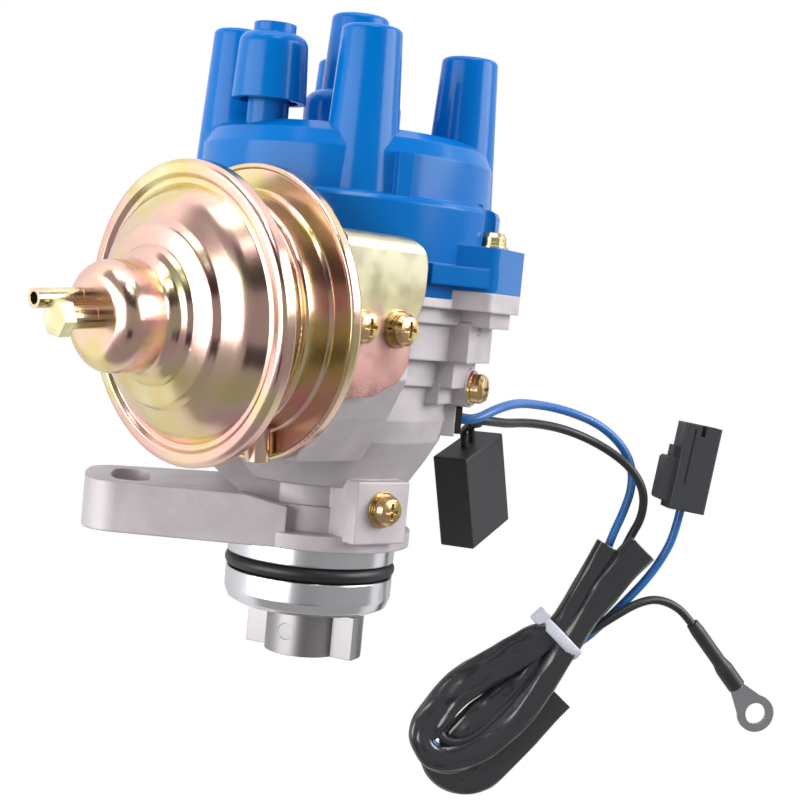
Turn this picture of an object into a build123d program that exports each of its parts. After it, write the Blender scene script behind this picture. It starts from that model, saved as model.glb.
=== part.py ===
from build123d import *
from math import cos, pi, radians, sin, sqrt, tan
import os

os.makedirs("parts", exist_ok=True)

# The distributor is drawn upright: its shaft is Z, the flange's seat is z = 0, and the
# cylinder head is below. An azimuth is counted from +X towards -Y, the side that ends up
# on top, because the whole thing is laid on its side at the end, as it is fitted.

# Driving sizes in mm, housing
pilot_r = 22.4
pilot_depth = 18.1
seal_section = 4.0
seal_proud = 0.5
seal_groove_z = -6.9
flange_hub_r = 26.0
flange_hub_t = 4.0
ear_t = 12.8
ear_r = 61.3
ear_half_width = 16.5
web_depth = 16.0
slot_r = 49.5
slot_width = 10.0
slot_length = 24.0
neck_r = 19.5
neck_top = 16.0
bowl_r = 32.8
bowl_z = 35.0
tier_b_r = 34.5
tier_b_z = 44.2
tier_a_r = 37.6
tier_a_z = 51.0
step_z = 60.3
rim_r = 41.8
rim_z = 64.3
rim_t = 2.4
lug_rise = 2.5
wall = 3.2

# Shaft, bearings and what turns
shaft_r = 6.3
spindle_r = 4.6
run_gap = 0.03
body_gap = 0.3
bush_r = 9.0
bush_length = 14.0
bearing_r = 14.0
bearing_t = 8.0
bearing_z = 11.5
oil_seal_r = 12.0
oil_seal_z = 4.0
oil_seal_t = 5.0
dog_r = 10.2
dog_length = 12.4
tongue_r = 16.2
tongue_t = 7.0
tongue_offset = 0.9
tongue_length = 11.4
dog_pin_r = 2.2
dog_rest = 33.5

# Centrifugal advance
weight_plate_r = 23.5
weight_plate_t = 2.0
weight_t = 5.5
weight_pivot_r = 15.5
weight_outer_r = 20.0
weight_pivot_pin_r = 2.2
drive_pin_r = 1.8
drive_pin_orbit = 12.0
drive_pin_rise = 3.2
cam_plate_t = 1.6
sleeve_r = 7.4
spring_r = 1.7

# Pickup
base_plate_t = 1.8
base_hub_r = 13.0
pickup_plate_t = 1.8
reluctor_r = 14.0
reluctor_t = 6.0
teeth = 4
pole_gap = 0.5

# Rotor and cap
rotor_r = 15.0
rotor_tip_r = 25.6
spark_gap = 0.9
cap_r = 41.8
cap_wall = 3.2
cap_step = 21.4
dome_r = 38.7
dome_height = 37.8
tower_ring_r = 30.3
tower_tip_r = 7.45
tower_height = 61.7
tower_taper = 3.1
centre_boss_r = 12.9
centre_boss_height = 49.0
centre_height = 69.4
socket_r = 4.6
socket_depth = 20.0
hood_azimuth = 140.0
hood_ring_r = 30.2
hood_r = 8.9
hood_bottom = 42.3
hood_top = 59.0
lug_azimuth = 30.8
lug_reach = 48.5
lug_half_width = 11.0
lug_splay = 7.9
rib_azimuth = 28.0
rib_half_width = 10.0
lug_height = 11.3
cap_screw_r = 42.8
cap_head_r = 3.5
cap_pocket_r = 4.6

# Vacuum unit
unit_azimuth = 141.8
unit_droop = 4.65
unit_reach = 41.4
unit_offset = 16.4
unit_z = 59.0
unit_rim_r = 35.5
unit_length = 22.1
sheet = 1.2
drum_r = 28.6
bracket_face = 41.2
bracket_t = 1.6
bracket_screw_z = 58.4
bracket_screw_near = 19.7
bracket_screw_pitch = 11.5
plate_turn = 10.0
pin_r = 1.6

# Fasteners
screw_r = 2.0
head_r = 3.9
head_h = 2.6
lock_r = 3.9
lock_t = 1.0
washer_r = 4.6
washer_t = 0.8

# Leads and what is on them
floor_z = -42.0
wire_r = 1.3
filter_wire_r = 1.0
hank_height = 11.0
tie_t = 1.3
tie_width = 4.6
ring_hole_r = 3.3
ring_outer_r = 5.9

rim_top = rim_z + rim_t
lay = Rot(-90, 0, 0)


def spin(azimuth):
    return Rot(0, 0, -azimuth)


def aim(azimuth):
    return Vector(cos(radians(azimuth)), -sin(radians(azimuth)), 0)


def turned(*points):
    return revolve(make_face(Plane.XZ * Polyline(*points, close=True)), Axis.Z)


def pressed(*points):
    """Turn a sheet metal profile about Z: each point is radius, height and the bend's radius."""
    bends, edges = [], []
    for i, (r, z, bend) in enumerate(points):
        here = Vector(r, z)
        back = (Vector(*points[i - 1][:2]) - here).normalized()
        on = (Vector(*points[(i + 1) % len(points)][:2]) - here).normalized()
        half = radians(back.get_angle(on)) / 2
        inwards = (back + on).normalized() if bend else back
        middle = here + inwards * (bend / sin(half) - bend)
        bends.append((here + back * (bend / tan(half)), middle, here + on * (bend / tan(half)), bend))
    for (first, middle, last, bend), (following, _, _, _) in zip(bends, bends[1:] + bends[:1]):
        if bend:
            edges.append(ThreePointArc(first, middle, last))
        edges.append(Line(last, following))
    return revolve(Plane.XZ * make_face(edges), Axis.Z)


def rod(radius, bottom, top):
    return Pos(0, 0, bottom) * Cylinder(radius, top - bottom, align=(Align.CENTER, Align.CENTER, Align.MIN))


def tube(outer, inner, bottom, top):
    return turned((inner, bottom), (outer, bottom), (outer, top), (inner, top))


def slab(x0, x1, y0, y1, z0, z1):
    return Pos((x0 + x1) / 2, (y0 + y1) / 2, (z0 + z1) / 2) * Box(x1 - x0, y1 - y0, z1 - z0)


def plate(sketch, bottom, top):
    return Pos(0, 0, bottom) * extrude(sketch, top - bottom)


def ring_of(shape, count, first=0):
    return [Rot(0, 0, first + 360 * i / count) * shape for i in range(count)]


def pan_screw(length, radius=screw_r, head=head_r, height=head_h):
    """A cross-head screw: its seat is z = 0 and its shank goes down."""
    dome = turned((0, 0), (head, 0), (head, height * 0.45), (head * 0.8, height * 0.88), (head * 0.35, height), (0, height))
    cross = [Pos(0, 0, height) * Box(head * 1.05, head * 0.22, height * 0.9), Pos(0, 0, height) * Box(head * 0.22, head * 1.05, height * 0.9)]
    return dome - cross + rod(radius, -length, 0)


def screw_stack(length, lock=True, flat=True, head=head_r):
    """A screw with its washers, seated at z = 0, and the washers as their own shape."""
    flat_t = washer_t if flat else 0
    lock_h = lock_t if lock else 0
    rings = []
    if flat:
        rings.append(tube(washer_r * head / head_r, screw_r + 0.1, 0, washer_t))
    if lock:
        split = Pos(lock_r * 0.7, 0, flat_t + lock_t / 2) * Box(lock_r, 0.5, lock_t * 2)
        rings.append(tube(lock_r * head / head_r, screw_r + 0.1, flat_t, flat_t + lock_t) - split)
    return Pos(0, 0, flat_t + lock_h) * pan_screw(length + flat_t + lock_h, head=head), rings


nodes = {}


def keep(name, *shapes, laid=True):
    solids = []
    for shape in shapes:
        placed = lay * shape if laid else shape
        solids += placed.solids()
    nodes[name] = solids[0] if len(solids) == 1 else Compound(children=solids)
    export_step(nodes[name], f"parts/{name}.step")


# Where the unit sits: its own frame has u across, v up the shaft and w out of its nose
unit_radial = aim(unit_azimuth)
unit_across = aim(unit_azimuth - 90)
unit_axis = unit_radial * cos(radians(unit_droop)) + Vector(0, 0, -sin(radians(unit_droop)))
unit_centre = unit_radial * unit_reach + unit_across * unit_offset + Vector(0, 0, unit_z)
unit = Plane(origin=unit_centre, x_dir=unit_across, z_dir=unit_axis).location
# The housing's pad for the bracket: x out along the pull rod, y up the shaft, z inwards
pad_frame = Plane(origin=(0, 0, 0), x_dir=unit_radial, z_dir=unit_across * -1).location
# The pull rod's line: x out along the rod, z up the shaft
rod_frame = Plane(origin=unit_across * unit_offset, x_dir=unit_radial, z_dir=(0, 0, 1)).location


def on_pad(along, height, out):
    return pad_frame * Pos(along, height, -out) * Rot(180, 0, 0)



# Heights that follow from one another
bush_bottom = -pilot_depth + 1.5
weight_plate_z = neck_top + 10.0
weight_z = weight_plate_z + weight_plate_t + body_gap
cam_plate_z = weight_z + weight_t + body_gap
base_plate_z = tier_a_z + 1.2
pickup_plate_z = base_plate_z + base_plate_t + 1.0
pickup_top = pickup_plate_z + pickup_plate_t
rod_z = pickup_top + body_gap + 1.2
rod_t = 1.4
reluctor_z = rod_z + 6.0
cap_z = rim_top + lug_rise
brush_z = cap_z + 23.5
ceiling = cap_z + dome_height - cap_wall
sleeve_top = cap_z + 10.0
bowl_floor = neck_top + 7.4
bowl_inner = bowl_r - wall
upper_inner = tier_a_r - wall


# Cast housing
def ear_outline():
    corner = ear_half_width
    reach = sqrt(ear_r**2 - corner**2)
    side = ear_half_width + 7
    start = -9.5
    outline = make_face(
        [
            Line((start, side), (-reach, corner)),
            ThreePointArc((-reach, corner), (-ear_r, 0), (-reach, -corner)),
            Line((-reach, -corner), (start, -side)),
            Line((start, -side), (start, side)),
        ]
    )
    outer = outline.vertices().sort_by(Axis.X)[:2]
    return fillet(outer, 9)


def ear_slot():
    half = (slot_length - slot_width) / 2 / slot_r * 180 / pi
    return SlotArc(CenterArc((0, 0), slot_r, 180 - half, 2 * half), slot_width)


def rib(reach, half_width, bottom, top):
    block = slab(0, reach, -half_width, half_width, bottom, top)
    return [spin(rib_azimuth + side) * block for side in (0, 180)]


def lug_plan(grown=0.0):
    """Outline of one screw lug, wider where it joins the skirt."""
    root = lug_reach - 18.5
    corners = [(root, -lug_half_width - lug_splay), (lug_reach, -lug_half_width), (lug_reach, lug_half_width), (root, lug_half_width + lug_splay)]
    face = make_face(Polyline(*corners, close=True))
    face = fillet(face.vertices().sort_by(Axis.X)[-2:], 2.6)
    return offset(face, amount=grown) if grown else face


grommet_azimuth = 4.0
grommet_z = bowl_z + 0.4
grommet_width = 14.0
grommet_height = 5.4
grommet_out = 3.4
earth_azimuth = 60.0
earth_reach = 29.0
earth_z = 12.0
side_screw_shift = 6.2
side_screw_reach = 38.4
pad_near = bracket_screw_near - 6.5
pad_far = unit_reach - 5.4


def housing():
    groove_r = pilot_r + seal_proud - seal_section - 0.05
    groove = seal_section / 2 + 0.1
    shell = turned(
        (0, -pilot_depth),
        (pilot_r - 3.2, -pilot_depth),
        (pilot_r - 0.9, -pilot_depth + 1.2),
        (pilot_r, -pilot_depth + 3.6),
        (pilot_r, seal_groove_z - groove),
        (groove_r, seal_groove_z - groove),
        (groove_r, seal_groove_z + groove),
        (pilot_r, seal_groove_z + groove),
        (pilot_r, 0),
        (flange_hub_r, 0),
        (flange_hub_r, flange_hub_t),
        (neck_r + 0.8, flange_hub_t),
        (neck_r + 0.8, ear_t - 2),
        (neck_r, ear_t - 2),
        (neck_r, neck_top),
        (neck_r + 4.5, neck_top + 0.6),
        (bowl_r - 4.4, neck_top + 7.6),
        (bowl_r - 1.4, neck_top + 13.2),
        (bowl_r - 0.3, bowl_z),
        (bowl_r, tier_b_z),
        (tier_b_r, tier_b_z),
        (tier_b_r, tier_a_z),
        (tier_a_r, tier_a_z),
        (tier_a_r, step_z),
        (rim_r - 2.2, step_z),
        (rim_r - 2.2, rim_z),
        (rim_r, rim_z),
        (rim_r, rim_top),
        (0, rim_top),
    )
    ear = plate(ear_outline(), 0, ear_t)
    slope = Pos(-9.5, 0, ear_t - 2.3) * Rot(0, 12, 0) * Pos(0, 0, 4) * Box(40, 60, 8)
    ear = ear - slope
    pad_side = [(20, bowl_floor + 1), (28, bowl_floor + 1), (36, 36), (bracket_face, 46), (bracket_face, rim_z), (20, rim_z)]
    pad_side = make_face(Polyline(*[(-out, -height) for out, height in pad_side], close=True))
    pad = pad_frame * Pos(pad_near, 0, 0) * extrude(Plane(origin=(0, 0, 0), x_dir=(0, 0, 1), z_dir=(1, 0, 0)).location * pad_side, pad_far - pad_near)
    earth = spin(earth_azimuth) * slab(neck_r - 6, earth_reach, -8.2, 8.2, flange_hub_t - 1, neck_top + 3)
    side_boss = spin(rib_azimuth) * Pos(side_screw_reach, side_screw_shift, tier_b_z) * Rot(0, -90, 0) * rod(5.2, 0, 9)
    ribs = (
        rib(34.8, rib_half_width, tier_b_z - 4.4, tier_b_z + 1)
        + rib(38.0, rib_half_width - 0.5, tier_b_z, tier_a_z + 1)
        + rib(41.5, rib_half_width + 0.3, tier_a_z, step_z + 1)
        + rib(46.2, rib_half_width - 0.8, step_z, rim_z + 1)
    )
    lugs = [spin(lug_azimuth + side) * plate(lug_plan(), rim_z, cap_z) for side in (0, 180)]
    lugs = [lug - rod(cap_r - cap_wall + body_gap, rim_top, cap_z + 1) for lug in lugs]
    exit_frame = spin(grommet_azimuth) * slab(
        bowl_inner, bowl_r + 1.6, -grommet_width / 2 - 1.8, grommet_width / 2 + 1.8, grommet_z - grommet_height / 2 - 1.8, grommet_z + grommet_height / 2 + 1.8
    )
    web = [(-8, 8), (-9.5, 9), (-19, 11), (-25.5, 16), (-28.4, 18.4), (-28.4, bowl_floor), (-8, bowl_floor)]
    web = Pos(0, -web_depth, 0) * extrude(Plane.XZ * make_face(Polyline(*web, close=True)), -2 * web_depth)
    body = shell + ear + web + pad + earth + side_boss + ribs + lugs + exit_frame
    # The bores, from the pilot up
    body -= plate(ear_slot(), -1, ear_t + 1)
    body -= rod(bush_r, -pilot_depth - 1, bush_bottom + bush_length)
    body -= rod(shaft_r + 0.6, bush_bottom, oil_seal_z)
    body -= rod(oil_seal_r, oil_seal_z - 1, oil_seal_z + oil_seal_t)
    body -= rod(bearing_r, oil_seal_z + oil_seal_t, bearing_z + bearing_t)
    body -= rod(bearing_r - 2, bearing_z, bowl_floor + 1)
    # The weights' chamber and the pickup's chamber above it
    body -= turned(
        (0, bowl_floor),
        (bowl_r - 9.6, bowl_floor),
        (bowl_r - 7.2, bowl_floor + 1.6),
        (bowl_r - 4.8, neck_top + 13.2),
        (bowl_inner, bowl_z + 1),
        (bowl_inner, base_plate_z + 1),
        (0, base_plate_z + 1),
    )
    body -= rod(upper_inner, base_plate_z, rim_top + 1)
    # Where the pull rod, the leads and the screws go through
    body -= rod_frame * slab(20, pad_far + 8, -6, 6, rod_z - 3.2, rod_z + 3.4)
    body -= spin(grommet_azimuth) * slab(
        bowl_inner - 3, bowl_r + 4, -grommet_width / 2, grommet_width / 2, grommet_z - grommet_height / 2, grommet_z + grommet_height / 2
    )
    for side in (0, 180):
        body -= spin(lug_azimuth + side) * Pos(cap_screw_r, 0, 0) * rod(screw_r, cap_z - 11, cap_z + 1)
    for i in (0, 1):
        along = bracket_screw_near + i * bracket_screw_pitch
        body -= on_pad(along, bracket_screw_z, bracket_face) * rod(screw_r, -8, 1)
    body -= spin(earth_azimuth) * Pos(earth_reach, 0, earth_z) * Rot(0, 90, 0) * rod(screw_r, -7, 1)
    body -= spin(rib_azimuth) * Pos(side_screw_reach, side_screw_shift, tier_b_z) * Rot(0, 90, 0) * rod(screw_r, -6, 1)
    for hole in ring_of(Pos(base_screw_r, 0, 0) * rod(1.4, base_plate_z - 6, base_plate_z + 1), 3, 20):
        body -= hole
    return body


base_screw_r = bowl_inner + 1.9


def seal_ring():
    return Pos(0, 0, seal_groove_z) * Torus(pilot_r + seal_proud - seal_section / 2, seal_section / 2)


# Shaft group
def shaft():
    return turned(
        (0, -pilot_depth - dog_length + 0.4),
        (shaft_r - 0.6, -pilot_depth - dog_length + 0.4),
        (shaft_r, -pilot_depth - dog_length + 1),
        (shaft_r, weight_plate_z),
        (spindle_r, weight_plate_z),
        (spindle_r, sleeve_top - 3.4),
        (0, sleeve_top - 3.4),
    ) - Pos(0, 0, -pilot_depth - 0.4 - dog_length / 2) * Rot(0, 0, -dog_rest) * Rot(90, 0, 0) * rod(dog_pin_r, -dog_r, dog_r)


def drive_dog():
    top = -pilot_depth - 0.4
    hub = rod(dog_r, top - dog_length, top)
    bar = Pos(0, tongue_offset) * Rectangle(2 * tongue_r, tongue_t)
    tongue = plate(bar & Circle(tongue_r), top - dog_length, top - dog_length + tongue_length)
    drive = hub + tongue
    drive = drive - rod(shaft_r, top - dog_length - 1, top + 1)
    drive = drive - Pos(0, 0, top - dog_length / 2) * Rot(90, 0, 0) * rod(dog_pin_r, -dog_r - 1, dog_r + 1)
    return Rot(0, 0, -dog_rest) * drive


def dog_pin():
    top = -pilot_depth - 0.4
    reach = sqrt(dog_r**2 - dog_pin_r**2)
    pin = Rot(90, 0, 0) * rod(dog_pin_r, -reach, reach)
    return Rot(0, 0, -dog_rest) * Pos(0, 0, top - dog_length / 2) * pin


def weight_plate():
    disc = tube(weight_plate_r, spindle_r, weight_plate_z, weight_plate_z + weight_plate_t)
    bites = ring_of(Pos(weight_plate_r + 2, 0, 0) * rod(7, weight_plate_z - 1, weight_plate_z + weight_plate_t + 1), 2, 90)
    pin = Pos(weight_pivot_r, 0, 0) * rod(weight_pivot_pin_r, weight_plate_z, cam_plate_z + 3.4)
    groove = Pos(weight_pivot_r, 0, 0) * tube(weight_pivot_pin_r + 1, weight_pivot_pin_r - 0.7, cam_plate_z + 1.2, cam_plate_z + 2.2)
    return disc - bites + [p - g for p, g in zip(ring_of(pin, 2), ring_of(groove, 2))]


def weight():
    """One fly weight: it pivots at +X and its drive pin stands on it at -Y."""
    outer = Circle(weight_outer_r) & Pos(-4, -weight_outer_r / 2 - 2) * Rectangle(60, weight_outer_r)
    inner = Circle(sleeve_r + 2.2)
    eye = Pos(weight_pivot_r, 0) * Circle(4.4)
    arm = Pos(weight_pivot_r, -3) * Rectangle(7.4, 7)
    body = outer - inner + eye + (arm & Circle(weight_outer_r))
    block = plate(body, weight_z, weight_z + weight_t)
    block -= Pos(weight_pivot_r, 0, 0) * rod(weight_pivot_pin_r + run_gap, weight_z - 1, weight_z + weight_t + 1)
    block -= Pos(-weight_pivot_r, 0, 0) * rod(weight_pivot_pin_r + 3.6, weight_z - 1, weight_z + weight_t + 1)
    pin = Pos(0, -drive_pin_orbit, 0) * rod(drive_pin_r, weight_z + weight_t, cam_plate_z + cam_plate_t + 0.8)
    return block + pin


def advance_sleeve():
    arms = Rectangle(13.5, 2 * 18.6) & Circle(18.6)
    slot = Pos(0, -drive_pin_orbit - drive_pin_rise / 2) * SlotOverall(drive_pin_rise + 2 * drive_pin_r + 1.0, 2 * drive_pin_r + 1.0, rotation=90)
    cam = plate(Circle(sleeve_r + 2) + arms - slot - Rot(0, 0, 180) * slot, cam_plate_z, cam_plate_z + cam_plate_t)
    posts = ring_of(Pos(5.4, 14.6, 0) * rod(1.1, cam_plate_z + cam_plate_t, cam_plate_z + 5.2), 2)
    collar = rod(sleeve_r, cam_plate_z + cam_plate_t - 0.2, reluctor_z)
    upper = rod(sleeve_r - 1.2, reluctor_z, sleeve_top)
    flat = slab(sleeve_r - 2.4, sleeve_r, -8, 8, reluctor_z + reluctor_t + 2, sleeve_top + 1)
    return cam + posts + collar + upper - flat - rod(spindle_r + run_gap, cam_plate_z - 1, sleeve_top - 3.0)


def advance_springs():
    """Two return springs: each goes from a post on the sleeve's plate to a weight's pivot pin."""
    start = Vector(5.4, 14.6, cam_plate_z + 3.6)
    end = Vector(weight_pivot_r, 0, cam_plate_z + 2.7)
    run = end - start
    frame = Plane(origin=start, z_dir=run).location
    clear = 3.0
    turns = 9
    pitch = (run.length - 2 * clear) / turns
    points = [(spring_r - 0.6, clear)]
    for i in range(turns):
        points += [(spring_r, clear + (i + 0.25) * pitch), (spring_r, clear + (i + 0.75) * pitch), (spring_r - 0.28, clear + (i + 1) * pitch)]
    points += [(spring_r - 0.6, run.length - clear), (0, run.length - clear), (0, clear)]
    coil = turned(*points)
    legs = rod(0.35, 1.5, clear) + rod(0.35, run.length - clear, run.length - 2.6)
    post_eye = Pos(start.X, start.Y, start.Z) * tube(2.1, 1.15, -0.35, 0.35)
    pin_eye = Pos(end.X, end.Y, end.Z) * tube(weight_pivot_pin_r + 0.8, weight_pivot_pin_r + 0.05, -0.35, 0.35)
    one = frame * (coil + legs) + post_eye + pin_eye
    return [one, Rot(0, 0, 180) * one]


# Pickup group
def base_plate():
    disc = Circle(upper_inner - body_gap) - Circle(sleeve_r + 1.6)
    ring = plate(disc, base_plate_z, base_plate_z + base_plate_t)
    hub = tube(base_hub_r, sleeve_r + 1.6, base_plate_z + base_plate_t, pickup_top + 1.4)
    groove = tube(base_hub_r + 1, base_hub_r - 0.8, pickup_top + 0.2, pickup_top + 1.0)
    lead_hole = spin(grommet_azimuth) * Pos(bowl_inner - 6, 0, 0) * rod(4.2, base_plate_z - 1, base_plate_z + 6)
    holes = ring_of(Pos(base_screw_r, 0, 0) * rod(1.6, base_plate_z - 1, base_plate_z + 6), 3, 20)
    return ring + hub - groove - lead_hole - holes


def base_screws():
    screw = Pos(base_screw_r, 0, base_plate_z + base_plate_t) * pan_screw(5.5, 1.35, 2.6, 1.6)
    return ring_of(screw, 3, 20)


def pickup_plate():
    outer = upper_inner - 6.2
    disc = Circle(outer) - Circle(base_hub_r + run_gap)
    bite = Rot(0, 0, 150) * Pos(outer - 3, 0) * Rectangle(12, 9)
    body = plate(disc - bite, pickup_plate_z, pickup_top)
    stud = Pos(*pin_point(0)) * rod(pin_r, pickup_top, rod_z + rod_t + 2.2)
    return body + stud


def pin_point(height):
    spot = unit_across * unit_offset + unit_radial * (-unit_offset * tan(radians(plate_turn / 2)))
    return (spot.X, spot.Y, height)


def reluctor():
    rim = Circle(reluctor_r - 3)
    tooth = Pos(reluctor_r - 3, 0) * Rectangle(6, 4.4)
    wheel = rim + [Rot(0, 0, 45 + 90 * i) * tooth for i in range(teeth)]
    wheel = (wheel & Circle(reluctor_r)) - Circle(sleeve_r - 1.2)
    return plate(wheel, reluctor_z, reluctor_z + reluctor_t)


pickup_azimuth = 250.0


def pickup_coil():
    inner = reluctor_r + pole_gap + 4.2
    former = slab(inner, inner + 8, -6, 6, pickup_top, reluctor_z + reluctor_t)
    winding = slab(inner + 1.2, inner + 6.8, -7.2, 7.2, pickup_top + 1.6, reluctor_z + reluctor_t - 1.4)
    bore = slab(inner - 1, inner + 9, -1.8, 1.8, reluctor_z + 1, reluctor_z + 4.6)
    return spin(pickup_azimuth) * (former + fillet(winding.edges().filter_by(Axis.X), 1.2) - bore)


def pole_piece():
    inner = reluctor_r + pole_gap
    arm = slab(inner, inner + 14.6, -1.7, 1.7, reluctor_z + 1.1, reluctor_z + 4.5)
    magnet = slab(inner + 12.4, inner + 14.6, -4.5, 4.5, pickup_top, reluctor_z + 4.5)
    return spin(pickup_azimuth) * (arm + magnet)


def retaining_ring():
    ring = tube(base_hub_r + 1.6, base_hub_r - 0.7, pickup_top + 0.25, pickup_top + 0.95)
    return ring - slab(0, 30, -4, 4, pickup_top - 1, pickup_top + 3)


# Rotor
def rotor_arm():
    skirt = tube(sleeve_r + 1.4, sleeve_r - 1.2, reluctor_z + reluctor_t + 1.4, sleeve_top)
    key = slab(sleeve_r - 2.4, sleeve_r - 1, -3, 3, reluctor_z + reluctor_t + 2, sleeve_top)
    top = rod(rotor_r, sleeve_top, sleeve_top + 4.2)
    arm = slab(0, rotor_tip_r - 4.4, -5, 5, sleeve_top, sleeve_top + 4.2)
    tail = Rot(0, 0, 180) * slab(8, rotor_r + 4, -6.5, 6.5, sleeve_top, sleeve_top + 4.2)
    crown = rod(5.6, sleeve_top + 4.2, sleeve_top + 6.4)
    body = skirt + key + top + arm + tail + crown
    seat = slab(-4.4, rotor_tip_r, -2.6, 2.6, sleeve_top + 4.2 - 0.9, sleeve_top + 9)
    return body - seat


def rotor_contact():
    base = sleeve_top + 3.3
    blade = slab(-4.2, rotor_tip_r, -2.4, 2.4, base, base + 1.4)
    tip = slab(rotor_tip_r - 4, rotor_tip_r + 1, -3.4, 3.4, base, base + 1.4) & rod(rotor_tip_r, base - 1, base + 4)
    stud = rod(2.0, base + 1.4, base + 2.6)
    return blade + tip + stud


# Cap
def tower(ring_radius, tip_radius, top, bottom):
    base_radius = tip_radius + (top - bottom) * tan(radians(tower_taper))
    cone = Pos(0, 0, bottom) * Cone(base_radius, tip_radius, top - bottom, align=(Align.CENTER, Align.CENTER, Align.MIN))
    cone = fillet(cone.edges().sort_by(Axis.Z)[-1], 1.3)
    return Pos(ring_radius, 0, 0) * cone


tower_top = cap_z + tower_height
centre_top = cap_z + centre_height
socket_floor = tower_top - socket_depth
centre_socket_floor = centre_top - socket_depth
terminal_r = 2.6


# The ledge that runs from a lug along the skirt, seen from above
arm_plan = [(36.9, -33.2), (19.0, -39.5), (17.4, -36.0), (30.0, -28.0)]


def distributor_cap():
    step = cap_z + cap_step
    top = cap_z + dome_height
    outer = turned(
        (0, rim_top),
        (cap_r, rim_top),
        (cap_r, step - 1.6),
        (cap_r - 0.5, step - 0.5),
        (cap_r - 1.6, step),
        (dome_r, step),
        (dome_r - 0.3, top - 6),
        (dome_r - 2.0, top - 2.2),
        (dome_r - 6.2, top),
        (0, top),
    )
    outer += [Rot(0, 0, 90 * i) * tower(tower_ring_r, tower_tip_r, tower_top, step - 0.5) for i in range(4)]
    boss = rod(centre_boss_r, top - 1, cap_z + centre_boss_height)
    outer += fillet(boss.edges().sort_by(Axis.Z)[-1], 4)
    outer += tower(0, tower_tip_r + 0.05, centre_top, top)
    # The breather: a stem with a hood that is open below
    stem = spin(hood_azimuth) * Pos(hood_ring_r, 0, 0) * rod(5.2, step, cap_z + hood_top - 3)
    shoulder = spin(hood_azimuth) * Pos(hood_ring_r - 0.4, 0, 0) * rod(8.2, step - 0.5, top - 4.6)
    shoulder = fillet(shoulder.edges().sort_by(Axis.Z)[-1], 3)
    hood = Cone(hood_r + 0.5, hood_r - 0.4, hood_top - hood_bottom, align=(Align.CENTER, Align.CENTER, Align.MIN))
    hood = fillet(hood.edges().sort_by(Axis.Z)[-1], 3)
    hood = hood + rod(5.3, hood_top - hood_bottom - 1, hood_top - hood_bottom + 2.4)
    hood = hood - rod(hood_r - 1.6, -1, hood_top - hood_bottom - 4)
    outer += stem
    outer += shoulder
    outer += spin(hood_azimuth) * Pos(hood_ring_r, 0, cap_z + hood_bottom) * hood
    # Screw lugs, with the key rib beside the tower that faces up
    for side in (0, 180):
        outer += spin(lug_azimuth + side) * plate(lug_plan(), cap_z, cap_z + lug_height)
        outer += Rot(0, 0, side) * plate(make_face(Polyline(*arm_plan, close=True)), cap_z + 0.9, cap_z + 5.8)
    outer += spin(90 - 14.5) * slab(dome_r - 2, dome_r + 2.2, -2, 2, step - 1, step + 10.4)
    # Inside
    inner = turned(
        (0, rim_top - 1),
        (cap_r - cap_wall, rim_top - 1),
        (cap_r - cap_wall, step - 3),
        (dome_r - cap_wall, step),
        (dome_r - cap_wall, ceiling - 4),
        (dome_r - cap_wall - 4, ceiling),
        (0, ceiling),
    )
    inner -= [Rot(0, 0, 90 * i) * Pos(tower_ring_r, 0, 0) * rod(4.6, ceiling - 8.5, ceiling + 1) for i in range(4)]
    inner -= rod(5.4, brush_z - 3, ceiling + 1)
    for side in (0, 180):
        inner -= spin(lug_azimuth + side) * Pos(cap_screw_r, 0, 0) * rod(7.2, cap_z + 2.2, step)
    outer -= inner
    for side in (0, 180):
        outer -= spin(lug_azimuth + side) * plate(lug_plan(body_gap), rim_top - 1, cap_z)
    for i in range(4):
        outer -= Rot(0, 0, 90 * i) * Pos(tower_ring_r, 0, 0) * rod(socket_r, socket_floor, tower_top + 1)
        outer -= Rot(0, 0, 90 * i) * Pos(tower_ring_r, 0, 0) * rod(terminal_r, ceiling - 9, socket_floor + 1)
    outer -= rod(socket_r, centre_socket_floor, centre_top + 1)
    outer -= rod(terminal_r, brush_z - 4, centre_socket_floor + 1)
    for side in (0, 180):
        screw_spot = spin(lug_azimuth + side) * Pos(cap_screw_r, 0, cap_z)
        outer -= screw_spot * rod(screw_r + 0.2, -1, lug_height + 1)
        outer -= screw_spot * rod(cap_pocket_r, lug_height, cap_step + 1)
    outer -= spin(hood_azimuth) * Pos(hood_ring_r, 0, 0) * rod(3.0, ceiling - 2, cap_z + hood_top - 6)
    outer -= spin(hood_azimuth) * Pos(hood_ring_r, 0, 0) * slab(0, 8, -2, 2, cap_z + hood_bottom + 2, cap_z + hood_top - 6)
    return outer


def cap_terminals():
    """Four plug lead contacts with their inner blades, and the centre contact."""
    blade_top = ceiling - 8.5
    contact_z = sleeve_top + 1.4
    reach = rotor_tip_r + spark_gap
    one = Pos(tower_ring_r, 0, 0) * rod(terminal_r, blade_top, socket_floor)
    blade = slab(reach, tower_ring_r + 2.6, -2.4, 2.4, contact_z, blade_top) - rod(reach, contact_z - 1, blade_top + 1)
    one = one + blade
    centre = rod(terminal_r, brush_z + 12, centre_socket_floor)
    return ring_of(one, 4) + [centre]


def centre_brush():
    return rod(terminal_r - 0.08, rotor_top, rotor_top + 9)


rotor_top = sleeve_top + 3.3 + 2.6 + 0.05


def brush_spring():
    bottom = rotor_top + 9
    top = brush_z + 12
    turns = 5
    pitch = (top - bottom) / turns
    points = [(1.2, bottom)]
    for i in range(turns):
        points += [(2.1, bottom + (i + 0.25) * pitch), (2.1, bottom + (i + 0.75) * pitch), (1.7, bottom + (i + 1) * pitch)]
    points += [(1.2, top)]
    return turned(*points)


def cap_gasket():
    outer = cap_r - cap_wall - 0.15
    return tube(outer, upper_inner + 0.6, rim_top, rim_top + 1.6)


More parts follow.
